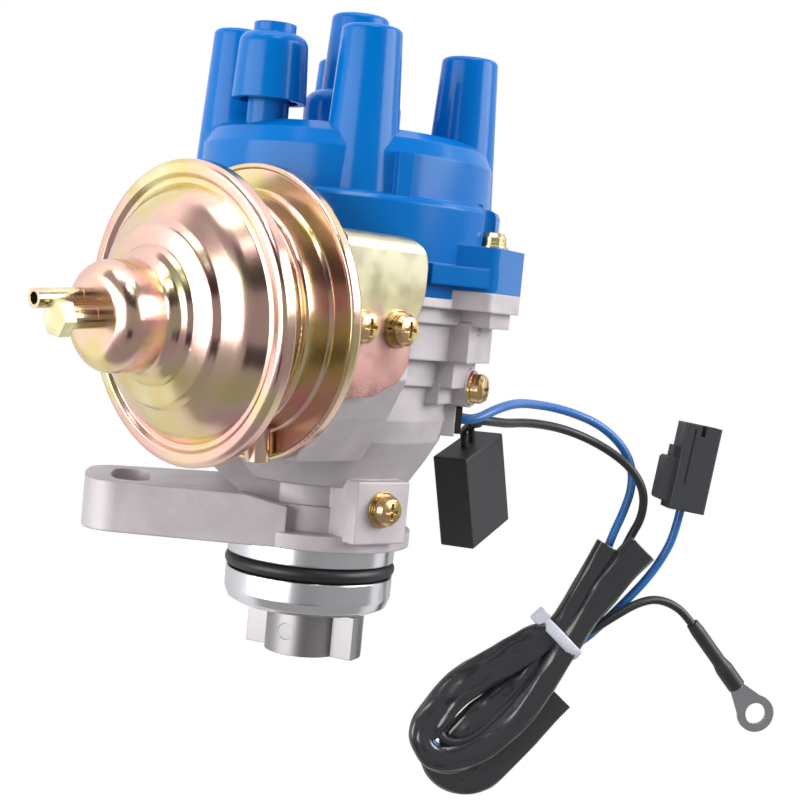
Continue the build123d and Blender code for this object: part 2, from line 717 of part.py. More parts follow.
def cap_fixings():
    screws, rings = [], []
    for side in (0, 180):
        spot = spin(lug_azimuth + side) * Pos(cap_screw_r, 0, cap_z + lug_height)
        screw, washers = screw_stack(lug_height + 9, head=cap_head_r)
        screws.append(spot * screw)
        rings += [spot * ring for ring in washers]
    return screws, rings


# Vacuum unit, each piece drawn on its own axis
nose_r = 12.6
nose_top = unit_length + 25.2
plug_r = 1.6
nipple_r = 2.2
nipple_offset = 5.0
nipple_up = 3.9
nipple_out = 11.5
hex_flats = 7.5
hex_out = 9.6
hex_t = 2.8
hex_neck_r = 2.6
stub_r = 2.9
stub_w = 6.0
stub_shift = 8.6
stub_out = 5.7


def front_cover():
    f = unit_length
    cover = pressed(
        (unit_rim_r, f - 2.7, 0.4),
        (unit_rim_r, f + 1.2, 1.5),
        (32.2, f + 1.2, 0.5),
        (31.3, f + 0.2, 0.3),
        (30.0, f + 0.2, 0.3),
        (27.0, f + 4.2, 8.0),
        (21.8, f + 7.0, 1.2),
        (20.6, f + 8.6, 1.3),
        (16.0, f + 9.8, 0.6),
        (15.2, f + 10.9, 0.4),
        (13.8, f + 11.9, 1.6),
        (nose_r, f + 13.8, 2.5),
        (nose_r, nose_top, 4.6),
        (0, nose_top, 0),
        (0, nose_top - sheet, 0),
        (nose_r - sheet, nose_top - sheet, 3.4),
        (nose_r - sheet, f + 13.2, 2.5),
        (12.9, f + 11.0, 1.6),
        (14.3, f + 9.9, 0.4),
        (15.2, f + 8.8, 0.5),
        (19.7, f + 7.6, 0.5),
        (20.9, f + 6.0, 0.8),
        (26.1, f + 3.2, 7.0),
        (28.9, f - 0.6, 0.3),
        (rim_inner, f - 0.6, 0),
        (rim_inner, f - 2.7, 0),
    )
    cover -= rod(plug_r, nose_top - 4, nose_top + 1)
    return cover - Pos(-nipple_offset, nipple_up, 0) * rod(nipple_r, nose_top - 4, nose_top + 1)


rim_inner = unit_rim_r - sheet
spool_r = rim_inner - 0.1
drum_seam = 10.5


def middle_drum():
    """Two cups back to back between the diaphragms, one flange at each rim."""
    f = unit_length
    inner = drum_r - 2.9
    return pressed(
        (spool_r, f - 1.3, 0),
        (30.2, f - 1.3, 0.4),
        (29.0, f - 2.2, 0.4),
        (inner, f - 4.4, 0.6),
        (inner, 4.4, 0.6),
        (29.0, 2.2, 0.4),
        (30.2, 1.3, 0.4),
        (spool_r, 1.3, 0),
        (spool_r, 2.3, 0),
        (drum_r + 0.7, 2.3, 0.5),
        (drum_r, 3.2, 0.5),
        (drum_r, drum_seam - 0.6, 1.2),
        (drum_r - 1.3, drum_seam, 0.3),
        (drum_r + 2.8, f - 2.3, 1.4),
        (spool_r, f - 2.3, 0),
    ) - Pos(stub_shift, 0, stub_w) * Rot(90, 0, 0) * rod(stub_r - 0.9, 0, drum_r + 5)


def lower_stub():
    reach = sqrt(drum_r ** 2 - (stub_shift + stub_r) ** 2)
    pipe = Pos(stub_shift, 0, stub_w) * Rot(90, 0, 0) * tube(stub_r, stub_r - 0.9, reach - 1, drum_r + stub_out)
    return pipe - rod(drum_r + 0.01, stub_w - 5, stub_w + 5)


def rear_cover():
    return pressed(
        (rim_inner, 2.7, 0.3),
        (unit_rim_r, 2.7, 0.7),
        (unit_rim_r, -0.9, 1.2),
        (31.4, -0.9, 0.6),
        (30.4, -0.2, 0.6),
        (26.4, -0.2, 0.6),
        (25.2, 0.6, 0.6),
        (17.0, 0.6, 0.6),
        (16.0, 1.6, 0.6),
        (9.0, 1.6, 0),
        (9.0, 2.8, 0),
        (16.6, 2.8, 0.6),
        (17.6, 1.8, 0.6),
        (25.6, 1.8, 0.6),
        (26.8, 1.0, 0.6),
        (29.0, 0.9, 0),
        (30.0, 0.6, 0),
        (rim_inner, 0.6, 0),
    )


def diaphragm(seat, side):
    """Rubber disc with one rolled convolution; its edge lies between the rims."""
    outline = [(0, 2.6), (21.6, 2.6), (22.6, 4.2), (24.2, 4.2), (25.0, 2.4), (26.8, 1.3), (29.0, 0.55), (30.2, 0), (spool_r, 0)]
    low = [(max(r, plate_hole_r), seat + side * h) for r, h in outline]
    high = [(r, w + side * 0.6) for r, w in reversed(low)]
    return turned(*low, *high)


rear_w = 0.65
front_w = unit_length - 0.65
plate_hole_r = 6.0


def rod_plates():
    """Dished plates clamped on the rear diaphragm; the pull rod is fixed to them."""
    face = rear_w + 3.25
    upper = rod(16.5, face, face + 1.2)
    rim = tube(16.5, 15.3, face + 1.2, face + 2.6)
    hub = rod(plate_hole_r - 0.05, face - 0.7, face)
    return upper + rim + hub


def spring_seat():
    """Plate on the front diaphragm: the return spring stands on it."""
    face = front_w - 3.25
    return rod(13.0, face - 1.2, face) + rod(plate_hole_r - 0.05, face, face + 0.7)


def coil_spring(radius, wire, bottom, top, turns):
    height = top - bottom - 2 * wire
    path = Helix(pitch=height / turns, height=height, radius=radius)
    start = path @ 0
    profile = Plane(origin=start, z_dir=path % 0) * Circle(wire)
    return Pos(0, 0, bottom + wire) * sweep(profile, path=path, is_frenet=True)


def pull_rod():
    start = unit_offset * tan(radians(plate_turn / 2))
    far = unit_reach - 3.0
    eye = Pos(-start, 0) * Circle(4.0)
    strap = Pos((far - start) / 2, 0) * Rectangle(far + start, 6.0)
    hole = Pos(-start, 0) * SlotOverall(2 * pin_r + 0.8, 2 * pin_r + 0.24, rotation=90)
    flat = plate(eye + strap - hole, rod_z, rod_z + rod_t)
    along = rod_frame * flat
    return along + unit * rod(2.2, -6, rear_w + 2.55)


def rod_clip():
    spot = Pos(*pin_point(rod_z + rod_t + 0.3))
    return spot * tube(3.4, pin_r, 0, 0.8)


def unit_bracket():
    """Zinc plated plate, welded to the rear dish and screwed to the housing's pad; its top is bent back."""
    top = rim_z + 16.3
    edge = bracket_screw_near - 8.6
    dish = unit_reach - 2.6
    bend_r = 3.8
    outline = [(edge + 3.9, 49.6), (edge + 3.1, 59.0), (edge + 0.8, 64.2), (edge, 68.0), (edge, top), (dish, top), (dish, 41.4)]
    outline += [(edge + 15.4, 41.9), (edge + 6.8, 45.7)]
    outline = make_face(Polyline(*[(x, -z) for x, z in outline], close=True))
    corner = outline.vertices().sort_by(Axis.Y)[:2].sort_by(Axis.X)[0]
    outline = fillet(corner, 7.4)
    front = bracket_face + bracket_t
    flat = on_pad(0, 0, bracket_face) * extrude(outline, bracket_t)
    above = pad_frame * slab(edge - 1, dish + 1, top - bend_r, top + 1, -front - 1, -bracket_face + 1)
    window = on_pad(0, 0, bracket_face - bend_r) * extrude(outline, bend_r + bracket_t)
    bend = pad_frame * Pos(edge, top - bend_r, bend_r - front) * Rot(0, 90, 0) * tube(bend_r, bend_r - bracket_t, 0, dish - edge)
    bend = bend & (pad_frame * slab(edge - 1, dish + 1, top - bend_r, top + 1, -front - 1, bend_r - front)) & window
    holes = [on_pad(bracket_screw_near + i * bracket_screw_pitch, bracket_screw_z, bracket_face) * rod(screw_r + 0.25, -1, 9) for i in (0, 1)]
    tab = unit * slab(14, bracket_face + bracket_t - unit_offset, -15, 15, -1.8, -0.3)
    return (flat - above) + bend + tab - holes


def bracket_fixings():
    screws, rings = [], []
    for i, washers in enumerate((True, False)):
        spot = on_pad(bracket_screw_near + i * bracket_screw_pitch, bracket_screw_z, bracket_face + bracket_t)
        screw, stack = screw_stack(bracket_t + 6, lock=washers, flat=washers)
        screws.append(spot * screw)
        rings += [spot * ring for ring in stack]
    return screws, rings


def side_fixings():
    earth = spin(earth_azimuth) * Pos(earth_reach, 0, earth_z) * Rot(0, 90, 0)
    side = spin(rib_azimuth) * Pos(side_screw_reach, side_screw_shift, tier_b_z) * Rot(0, 90, 0)
    earth_screw, earth_rings = screw_stack(6)
    side_screw, side_rings = screw_stack(5)
    return earth * earth_screw, side * side_screw, [earth * r for r in earth_rings] + [side * r for r in side_rings]


def wire_grommet():
    gap = 0.05
    block = slab(bowl_inner - 1.4, bowl_r + grommet_out, -grommet_width / 2 + gap, grommet_width / 2 - gap, grommet_z - grommet_height / 2 + gap, grommet_z + grommet_height / 2 - gap)
    lip = slab(bowl_r + 1.65, bowl_r + grommet_out, -grommet_width / 2 - 1.2, grommet_width / 2 + 1.2, grommet_z - grommet_height / 2 - 1.2, grommet_z + grommet_height / 2 + 1.2)
    lip = fillet(lip.edges().filter_by(Axis.X), 1.4)
    return spin(grommet_azimuth) * (block + lip)


# Leads. From here on everything is placed where it lies, with the object on its side:
# X as before, Y along the shaft towards the cap, Z up from the table.
def arc_radii(points):
    radii = []
    for a, b, c in zip(points, points[1:], points[2:]):
        before, after = Vector(*b) - Vector(*a), Vector(*c) - Vector(*b)
        half = radians(before.get_angle(after)) / 2
        radii.append(0.45 * min(before.length, after.length) / tan(half))
    return radii


def wire(name, points, radius):
    radii = arc_radii(points)
    path = FilletPolyline(*points, radius=radii)
    profile = Plane(origin=path @ 0, z_dir=path % 0) * Circle(radius)
    solid = sweep(profile, path=path)
    share = solid.volume / (pi * radius**2 * path.length)
    print(name, "length", round(path.length, 1), "least radius", round(min(radii), 1), "volume share", round(share, 4))
    return solid


exit_y = grommet_z
exit_x = bowl_r + grommet_out
out_dir = Vector(cos(radians(grommet_azimuth)), 0, sin(radians(grommet_azimuth)))
across_dir = Vector(-sin(radians(grommet_azimuth)), 0, cos(radians(grommet_azimuth)))


def exit_point(shift, out=0.0):
    return out_dir * (exit_x + out) + across_dir * shift + Vector(0, exit_y, 0)


def start_at(shift):
    a, b = exit_point(shift), exit_point(shift, 4.0)
    return [(a.X, a.Y, a.Z), (b.X, b.Y, b.Z)]


lying = floor_z + wire_r + 0.05
blue_route = start_at(4.8) + [
    (45.6, 38.2, 3.0),
    (51.0, 39.6, -3.4),
    (56.6, 39.9, -12.4),
    (63.2, 39.3, -21.8),
    (70.8, 38.4, -30.2),
    (79.2, 36.7, -36.6),
    (87.6, 34.0, lying + 0.6),
    (94.6, 29.4, lying),
    (99.4, 23.2, lying),
    (100.6, 15.6, lying),
    (98.6, 7.6, lying),
    (95.9, 0.2, lying),
    (93.6, -8.4, lying),
]
black_route = start_at(1.4) + [
    (45.8, 35.0, 0.8),
    (52.0, 34.2, -7.4),
    (58.2, 34.0, -17.6),
    (66.0, 33.5, -26.0),
    (74.6, 32.2, -32.8),
    (83.4, 29.8, -36.6),
    (91.6, 26.2, -36.6),
    (98.4, 21.6, -35.4),
    (103.0, 14.8, -35.6),
    (103.6, 6.8, -37.6),
    (101.4, 0.4, lying + 0.6),
    (98.6, -7.6, lying),
]
filter_corner = Vector(41.9, 22.9, -9.5)
filter_t = 10.7
filter_w = 23.2
filter_h = 27.3
filter_across = Vector(-8.4, -0.4, -6.7).normalized()
filter_down = Vector(5.9, -26.0, -5.8).normalized()
filter_wide = filter_across.cross(filter_down).normalized() * -1
tail_route = [
    (90.6, -32.4, lying),
    (96.4, -26.4, lying),
    (102.2, -19.8, lying),
    (108.0, -12.8, lying),
    (112.6, -5.4, lying),
    (115.3, 2.6, lying + 1.2),
    (116.2, 12.4, lying + 2.0),
]
earth_route = [
    (92.6, -28.0, lying + 3.4),
    (98.6, -23.6, lying + 3.4),
    (105.0, -19.6, lying + 2.6),
    (111.8, -18.0, lying + 0.8),
    (119.0, -20.2, lying),
    (126.4, -27.2, lying),
]
shrink_start = Vector(124.4, -25.2, lying)
ring_centre = Vector(148.4, -52.4, floor_z + 0.45)
waist_centre = Vector(81.3, -33.2, 0)
waist_dir = Vector(0.605, 0.796, 0).normalized()
waist_half = 8.1


def waist_frame():
    return Plane(origin=(waist_centre.X, waist_centre.Y, floor_z), x_dir=Vector(0, 0, 1).cross(waist_dir), z_dir=waist_dir).location


def sleeve_hank():
    """The folded sleeve: the outer shape of all its runs, pinched where the tie holds it."""
    outline = FilletPolyline(
        (91.2, -3.0),
        (98.0, -4.6),
        (108.6, -0.6),
        (108.4, -8.0),
        (97.0, -24.0),
        (87.2, -38.6),
        (84.6, -45.4),
        (86.4, -50.4),
        (71.0, -71.4),
        (58.4, -78.6),
        (46.2, -75.0),
        (38.8, -64.4),
        (41.6, -52.6),
        (52.0, -40.8),
        (64.0, -32.0),
        (74.4, -27.4),
        (83.0, -13.0),
        radius=2.2,
        close=True,
    )
    body = Pos(0, 0, floor_z) * extrude(make_face(outline), hank_height)
    body = fillet(body.faces().sort_by(Axis.Z)[-1].edges(), 3.0)
    room = waist_frame() * Box(60, 60, tie_width + 0.4)
    waist = RectangleRounded(2 * waist_half - 0.1, hank_height - 2 * tie_t - 0.1, 2.4)
    keep_in = waist_frame() * Pos(0, hank_height / 2, 0) * extrude(waist, tie_width, both=True)
    return body - (room - keep_in)


def cable_tie():
    half_h = (hank_height - 2 * tie_t) / 2
    outer = RectangleRounded(2 * (waist_half + tie_t), 2 * (half_h + tie_t), 2.5 + tie_t)
    band = outer - RectangleRounded(2 * waist_half, 2 * half_h, 2.5)
    ring = Pos(0, hank_height / 2, -tie_width / 2) * extrude(band, tie_width)
    head = Pos(waist_half + tie_t + 1.6, hank_height / 2 + 1, 0) * Box(4.6, 6.4, tie_width + 0.2)
    tail = Pos(waist_half + tie_t + 1.2, hank_height / 2 + 6.2, 0) * Box(1.2, 5, tie_width - 0.6)
    head = head - Pos(0, hank_height / 2, -tie_width) * extrude(outer, 2 * tie_width)
    return waist_frame() * (ring + head + tail)


connector_l = 26.5
connector_w = 11.6
connector_h = 8.6
connector_turn = -6.5
connector_foot = Vector(116.0, 10.2, floor_z)


def connector_place(shape):
    return Pos(connector_foot.X, connector_foot.Y, connector_foot.Z) * Rot(0, 0, connector_turn) * shape


def connector_housing():
    """Two-way plug: its open end is +Y, its leads enter at -Y, and the latch is on the left."""
    body = slab(-connector_w / 2, connector_w / 2, 0, connector_l, 0, connector_h)
    body = fillet(body.edges().filter_by(Axis.Y), 0.8)
    latch = slab(-connector_w / 2 - 3.6, -connector_w / 2 + 0.5, 2.0, 15.5, 0.6, connector_h - 1.2)
    latch = fillet(latch.edges().filter_by(Axis.Z).sort_by(Axis.X)[:2], 1.2)
    thumb = slab(-connector_w / 2 - 1.6, -connector_w / 2 + 0.5, 15.5, 19.0, 1.6, connector_h - 2.2)
    body = body + latch + thumb
    for x in (-2.9, 2.9):
        body -= slab(x - 2.1, x + 2.1, connector_l - 9, connector_l + 1, 2.6, connector_h - 1.6)
        body -= slab(x - 1.6, x + 1.6, 8, connector_l - 8, 2.8, 6.2)
    body -= slab(-0.7, 0.7, connector_l - 3.4, connector_l + 1, connector_h - 3, connector_h + 1)
    body -= slab(-2.9, -2.3, 8, connector_l - 1.5, connector_h - 0.5, connector_h + 1)
    body -= Pos(-0.2, 0, 0) * slab(-1.3, 1.3, -1, 9, 2.0, 4.9)
    return connector_place(body)


def connector_terminals():
    blades = []
    for x in (-2.9, 2.9):
        box = slab(x - 1.5, x + 1.5, 9.5, connector_l - 4, 3.0, 6.0)
        blades.append(box - slab(x - 1.0, x + 1.0, 12, connector_l, 3.5, 5.5))
    return [connector_place(b) for b in blades]


def ring_terminal():
    run = ring_centre - shrink_start
    back = Vector(run.X, run.Y, 0).normalized()
    frame = Plane(origin=(ring_centre.X, ring_centre.Y, floor_z + 0.05), x_dir=back * -1, z_dir=(0, 0, 1)).location
    eye = Circle(ring_outer_r)
    neck = make_face(Polyline((3.2, 4.8), (ring_outer_r + 5.0, 2.2), (ring_outer_r + 5.0, -2.2), (3.2, -4.8), close=True))
    flat = extrude(eye + neck - Circle(ring_hole_r), 0.9)
    barrel = Pos(ring_outer_r + 5.0, 0, wire_r + 0.1) * Rot(0, 90, 0) * (Cylinder(wire_r + 0.9, 6, align=(Align.CENTER, Align.CENTER, Align.MIN)) - Cylinder(wire_r, 20))
    barrel = barrel & slab(0, 40, -10, 10, 0, 20)
    return frame * (flat + barrel)


def write_all():
    keep("housing", housing())
    keep("pilot_seal", seal_ring())
    keep("lower_bush", tube(bush_r, shaft_r + run_gap, bush_bottom, bush_bottom + bush_length))
    keep("oil_seal", tube(oil_seal_r, shaft_r + 0.05, oil_seal_z, oil_seal_z + oil_seal_t - 0.3))
    race = bearing_z
    ball_r = 1.9
    ball_orbit = (shaft_r + bearing_r) / 2 + 0.1
    outer_race = tube(bearing_r, bearing_r - 2.6, race, race + bearing_t)
    inner_race = tube(shaft_r + 2.6, shaft_r, race, race + bearing_t)
    groove = Pos(0, 0, race + bearing_t / 2) * Torus(ball_orbit, ball_r + 0.05)
    keep("bearing_outer_race", outer_race - groove)
    keep("bearing_inner_race", inner_race - groove)
    keep("bearing_balls", *ring_of(Pos(ball_orbit, 0, race + bearing_t / 2) * Sphere(ball_r), 9))
    keep("shaft", shaft())
    keep("drive_dog", drive_dog())
    keep("dog_pin", dog_pin())
    keep("weight_plate", weight_plate())
    keep("advance_weight_a", weight())
    keep("advance_weight_b", Rot(0, 0, 180) * weight())
    keep("advance_sleeve", advance_sleeve())
    keep("advance_springs", *advance_springs())
    keep("base_plate", base_plate())
    keep("pickup_plate", pickup_plate())
    keep("retaining_ring", retaining_ring())
    keep("reluctor", reluctor())
    keep("pickup_coil", pickup_coil())
    keep("pole_piece", pole_piece())
    keep("rotor_arm", rotor_arm())
    keep("rotor_contact", rotor_contact())
    keep("distributor_cap", distributor_cap())
    keep("cap_terminals", *cap_terminals())
    keep("centre_brush", centre_brush())
    keep("brush_spring", brush_spring())
    keep("cap_gasket", cap_gasket())
    screws, rings = cap_fixings()
    keep("cap_screws", *screws)
    cap_rings = rings
    keep("thrust_washer", tube(bush_r - 0.4, shaft_r + 0.05, -pilot_depth - 0.1, bush_bottom - 0.15))
    keep("vacuum_front_cover", unit * front_cover())
    keep("vacuum_drum", unit * middle_drum())
    keep("vacuum_rear_cover", unit * rear_cover())
    keep("rear_diaphragm", unit * diaphragm(rear_w, 1))
    keep("front_diaphragm", unit * diaphragm(front_w, -1))
    keep("rod_plates", unit * rod_plates())
    keep("spring_seat", unit * spring_seat())
    keep("return_spring", unit * coil_spring(8.0, 0.7, rear_w + 4.45, front_w - 4.45, 5))
    keep("pull_rod", pull_rod())
    keep("rod_clip", rod_clip())
    keep("vacuum_nipple", unit * (Pos(-nipple_offset, nipple_up, 0) * tube(nipple_r, nipple_r - 0.8, nose_top - sheet, nose_top + nipple_out)))
    plug = rod(plug_r, nose_top - sheet, nose_top) + rod(hex_neck_r, nose_top, nose_top + hex_out - hex_t)
    head = plate(Rot(0, 0, -8) * RegularPolygon(hex_flats / 2, 6, major_radius=False), nose_top + hex_out - hex_t, nose_top + hex_out)
    keep("port_plug", unit * (plug + head))
    keep("lower_stub", unit * lower_stub())
    keep("unit_bracket", unit_bracket())
    screws, rings = bracket_fixings()
    earth_screw, side_screw, more = side_fixings()
    keep("housing_screws", earth_screw, side_screw, *screws, *base_screws())
    keep("screw_washers", *rings, *more, *cap_rings)
    keep("wire_grommet", wire_grommet())

    hank = sleeve_hank()
    connector = connector_housing()
    keep("sleeve_hank", hank, laid=False)
    keep("cable_tie", cable_tie(), laid=False)
    keep("blue_lead", wire("blue_lead", blue_route, wire_r) - hank, laid=False)
    keep("black_lead", wire("black_lead", black_route, wire_r) - hank, laid=False)
    keep("blue_tail", wire("blue_tail", tail_route, wire_r) - hank - connector, laid=False)
    run = Vector(ring_centre.X, ring_centre.Y, lying) - shrink_start
    way = run.normalized()
    shrink_end = shrink_start + way * 25.0
    sleeve_frame = Plane(origin=shrink_start, z_dir=way).location
    shrink = sleeve_frame * turned((wire_r + 0.02, 0), (wire_r + 0.6, 0), (wire_r + 0.9, 3), (wire_r + 0.9, 15), (wire_r + 1.5, 18), (wire_r + 1.5, 25), (wire_r + 1.0, 25), (wire_r + 1.0, 18), (wire_r + 0.02, 14))
    terminal = ring_terminal()
    earth_end = shrink_start + way * 16.0
    points = earth_route[:-1] + [(shrink_start.X, shrink_start.Y, shrink_start.Z), (earth_end.X, earth_end.Y, earth_end.Z)]
    keep("earth_tail", wire("earth_tail", points, wire_r) - hank, laid=False)
    above = Pos(0, 0, floor_z + 50) * Box(600, 600, 100)
    keep("heat_shrink", (shrink & above) - terminal, laid=False)
    keep("ring_terminal", terminal, laid=False)
    keep("connector_housing", connector, laid=False)
    keep("connector_terminals", *connector_terminals(), laid=False)

    corner = Plane(origin=filter_corner, x_dir=filter_across, z_dir=filter_down).location
    box = corner * slab(0, filter_t, 0, filter_w, 0, filter_h)
    keep("noise_filter", fillet(box.edges(), 0.6), laid=False)
    for name, shift, share, out in (("filter_lead_a", -1.8, 0.6, 7.4), ("filter_lead_b", -4.8, 0.4, 5.4)):
        top = filter_corner + filter_across * (filter_t / 2) + filter_wide * (filter_w * share)
        above_top = top - filter_down * 5.0
        elbow = exit_point(shift, out) + Vector(0, -1.6, -4.4)
        points = [tuple(exit_point(shift)), tuple(exit_point(shift, 2.4)), tuple(elbow), tuple(above_top), tuple(top)]
        keep(name, wire(name, points, filter_wire_r) - box, laid=False)


write_all()
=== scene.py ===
import math
import bpy
from mathutils import Matrix, Vector, noise


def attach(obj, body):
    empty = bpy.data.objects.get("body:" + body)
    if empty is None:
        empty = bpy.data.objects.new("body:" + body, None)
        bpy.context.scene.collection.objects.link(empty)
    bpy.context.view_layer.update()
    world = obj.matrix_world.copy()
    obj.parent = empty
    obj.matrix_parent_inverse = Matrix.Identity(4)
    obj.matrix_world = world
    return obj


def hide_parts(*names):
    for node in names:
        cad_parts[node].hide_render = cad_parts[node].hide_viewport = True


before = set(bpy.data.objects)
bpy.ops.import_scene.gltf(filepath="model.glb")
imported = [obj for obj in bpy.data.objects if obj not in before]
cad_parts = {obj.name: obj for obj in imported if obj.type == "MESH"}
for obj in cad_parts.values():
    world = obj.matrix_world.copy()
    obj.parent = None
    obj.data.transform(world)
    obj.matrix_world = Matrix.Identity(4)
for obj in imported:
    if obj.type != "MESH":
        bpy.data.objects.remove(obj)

mm = 0.001
worldUp = Vector((0, 0, 1))
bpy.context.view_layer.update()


# sRGB hex to the linear values that the shaders take
def linear(hexColour):
    parts = [int(hexColour[i:i + 2], 16) / 255 for i in (1, 3, 5)]
    return [p / 12.92 if p < 0.04045 else ((p + 0.055) / 1.055) ** 2.4 for p in parts] + [1.0]


# one node with its settings, and on each input a link, a hex colour or a plain value
def addNode(tree, kind, inputs=None, stops=(), output=0, **settings):
    node = tree.nodes.new("ShaderNode" + kind)
    for name, value in settings.items():
        setattr(node, name, value)
    for key, value in (inputs or {}).items():
        if hasattr(value, "links"):
            tree.links.new(value, node.inputs[key])
        else:
            node.inputs[key].default_value = linear(value) if isinstance(value, str) else value
    while stops and len(node.color_ramp.elements) < len(stops):
        node.color_ramp.elements.new(0.5)
    if stops:
        for element, (position, colour) in zip(node.color_ramp.elements, stops):
            element.position = position
            element.color = linear(colour) if isinstance(colour, str) else [colour] * 3 + [1]
    return node.outputs[output]


# a new material's parts, with its edges rounded to the eye by roundEdge millimetres
def newMaterial(name, roundEdge):
    material = bpy.data.materials.new(name)
    material.use_nodes = True
    tree = material.node_tree
    shader = tree.nodes["Principled BSDF"]
    place = addNode(tree, "TexCoord", output="Object")
    edge = None
    if roundEdge:
        edge = addNode(tree, "Bevel", {"Radius": roundEdge * mm}, samples=6)
    return material, tree, shader, place, edge


# an object-space pattern's scale, so that its blobs are about size millimetres across
def perBlob(size, stretch=(1, 1, 1)):
    return [1 / (size * mm * s) for s in stretch]


def feed(tree, shader, sockets):
    for name, value in sockets.items():
        if hasattr(value, "links"):
            tree.links.new(value, shader.inputs[name])
        else:
            shader.inputs[name].default_value = value


def wear(names, material):
    for name in names.split():
        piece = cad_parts[name]
        piece.data.materials.clear()
        piece.data.materials.append(material)


# the camera, solved from the round seats, rims and towers in the photograph
view = {
    "lens": 68.4,
    "sensor": 36,
    "near": 0.02,
    "far": 10,
    "spot": (-0.04215, 0.06471, 0.40501),
    "right": (0.98463, 0.09674, 0.14542),
    "up": (-0.08617, 0.99328, -0.07733),
    "back": (-0.15192, 0.06361, 0.98634),
}
cameraData = bpy.data.cameras.new("camera")
cameraData.sensor_width = view["sensor"]
cameraData.lens = view["lens"]
cameraData.clip_start = view["near"]
cameraData.clip_end = view["far"]
camera = bpy.data.objects.new("camera", cameraData)
cameraAxes = Matrix((Vector(view["right"]), Vector(view["up"]), Vector(view["back"]))).transposed().to_4x4()
camera.matrix_world = Matrix.Translation(view["spot"]) @ cameraAxes
bpy.context.collection.objects.link(camera)
bpy.context.scene.camera = camera
print("camera placed")


# the two leads, limp stranded wire in PVC, lying on the table (routes in mm)
lead = {
    "floor": -42 * mm,
    "thick": 2.6 * mm,
    "steps": 14,
    "round": 7,
}
lying = -40.65  # height of a wire's middle where it lies on the table
blueOut = [
    (35.78, 35.4, 7.31), (39.77, 35.4, 7.59), (45.6, 38.2, 3.0), (51.0, 39.6, -3.4),
    (56.6, 39.9, -12.4), (63.2, 39.3, -21.8), (70.8, 38.4, -30.2), (79.2, 36.7, -36.6),
    (87.6, 34.0, -40.05), (94.6, 29.4, lying), (99.4, 23.2, lying), (100.6, 15.6, lying),
    (98.6, 7.6, lying), (95.9, 0.2, lying), (93.6, -8.4, lying),
]
blackOut = [
    (36.01, 35.4, 3.92), (40.0, 35.4, 4.2), (45.8, 35.0, 0.8), (52.0, 34.2, -7.4), (58.2, 34.0, -17.6),
    (66.0, 33.5, -26.0), (74.6, 32.2, -32.8), (83.4, 29.8, -36.6), (91.6, 26.2, -36.6),
    (98.4, 21.6, -35.4), (103.0, 14.8, -35.6), (103.6, 6.8, -37.6), (101.4, 0.4, -40.05),
    (98.6, -7.6, lying),
]
blueTail = [
    (90.6, -32.4, lying), (96.4, -26.4, lying), (102.2, -19.8, lying), (108.0, -12.8, lying),
    (112.6, -5.4, lying), (115.3, 2.6, -39.45), (116.2, 12.4, -38.65),
]
earthTail = [
    (92.6, -28.0, -37.25), (98.6, -23.6, -37.25), (105.0, -19.6, -38.05), (111.8, -18.0, -39.85),
    (119.0, -20.2, lying), (124.4, -25.2, lying), (134.0, -36.1, lying),
]
# the stretches inside the sleeve don't show, so their route is a guess
blueInside = [
    (89.2, -14.6, -38.8), (84.6, -20.6, -38.4), (79.4, -27.6, -38.0), (73.0, -33.6, -37.6),
    (63.6, -38.8, -37.4), (54.4, -44.8, -37.2), (46.8, -52.6, -37.0), (43.4, -61.0, -36.6),
    (45.6, -66.6, -35.6), (52.4, -68.8, -34.9), (60.6, -66.0, -34.9), (68.8, -57.6, -35.2),
    (75.4, -48.2, -36.2), (81.4, -38.8, -38.4), (85.6, -35.4, -40.2),
]
blackInside = [
    (92.4, -15.4, -39.4), (87.6, -22.0, -39.0), (82.4, -29.4, -38.6), (75.4, -36.2, -38.2),
    (66.2, -41.6, -37.8), (57.2, -47.4, -37.4), (50.2, -54.4, -36.8), (47.0, -60.8, -36.2),
    (48.6, -64.2, -35.4), (52.6, -65.2, -35.0), (58.4, -62.8, -35.0), (65.6, -55.4, -35.4),
    (72.4, -46.2, -36.4), (79.2, -37.4, -37.4), (86.0, -32.2, -37.4),
]


def wireCurve(name, points, thick):
    curve = bpy.data.curves.new(name, "CURVE")
    curve.dimensions = "3D"
    spline = curve.splines.new("NURBS")
    spline.points.add(len(points) - 1)
    # the radius is kept in the points, so that the curve's own box is the wire's size
    for knot, p in zip(spline.points, points):
        knot.co = (p[0] * mm, p[1] * mm, p[2] * mm, 1)
        knot.radius = thick / 2
    spline.order_u = 3
    spline.use_endpoint_u = True
    spline.resolution_u = lead["steps"]
    curve.bevel_depth = 1
    curve.bevel_resolution = lead["round"]
    curve.use_fill_caps = True
    piece = bpy.data.objects.new(name, curve)
    bpy.context.collection.objects.link(piece)
    return piece


# length of the line that the curve really follows, measured with the bevel off
def lengthOf(piece):
    depth = piece.data.bevel_depth
    piece.data.bevel_depth = 0
    bpy.context.view_layer.update()
    mesh = piece.evaluated_get(bpy.context.evaluated_depsgraph_get()).to_mesh()
    points = [v.co.copy() for v in mesh.vertices]
    piece.data.bevel_depth = depth
    return sum((b - a).length for a, b in zip(points, points[1:]))


blueWire = wireCurve("blue_wire", blueOut + blueInside + blueTail, lead["thick"])
blackWire = wireCurve("black_wire", blackOut + blackInside + earthTail, lead["thick"])
blueLength = lengthOf(blueWire)
blackLength = lengthOf(blackWire)
print("wires", round(blueLength, 4), round(blackLength, 4))


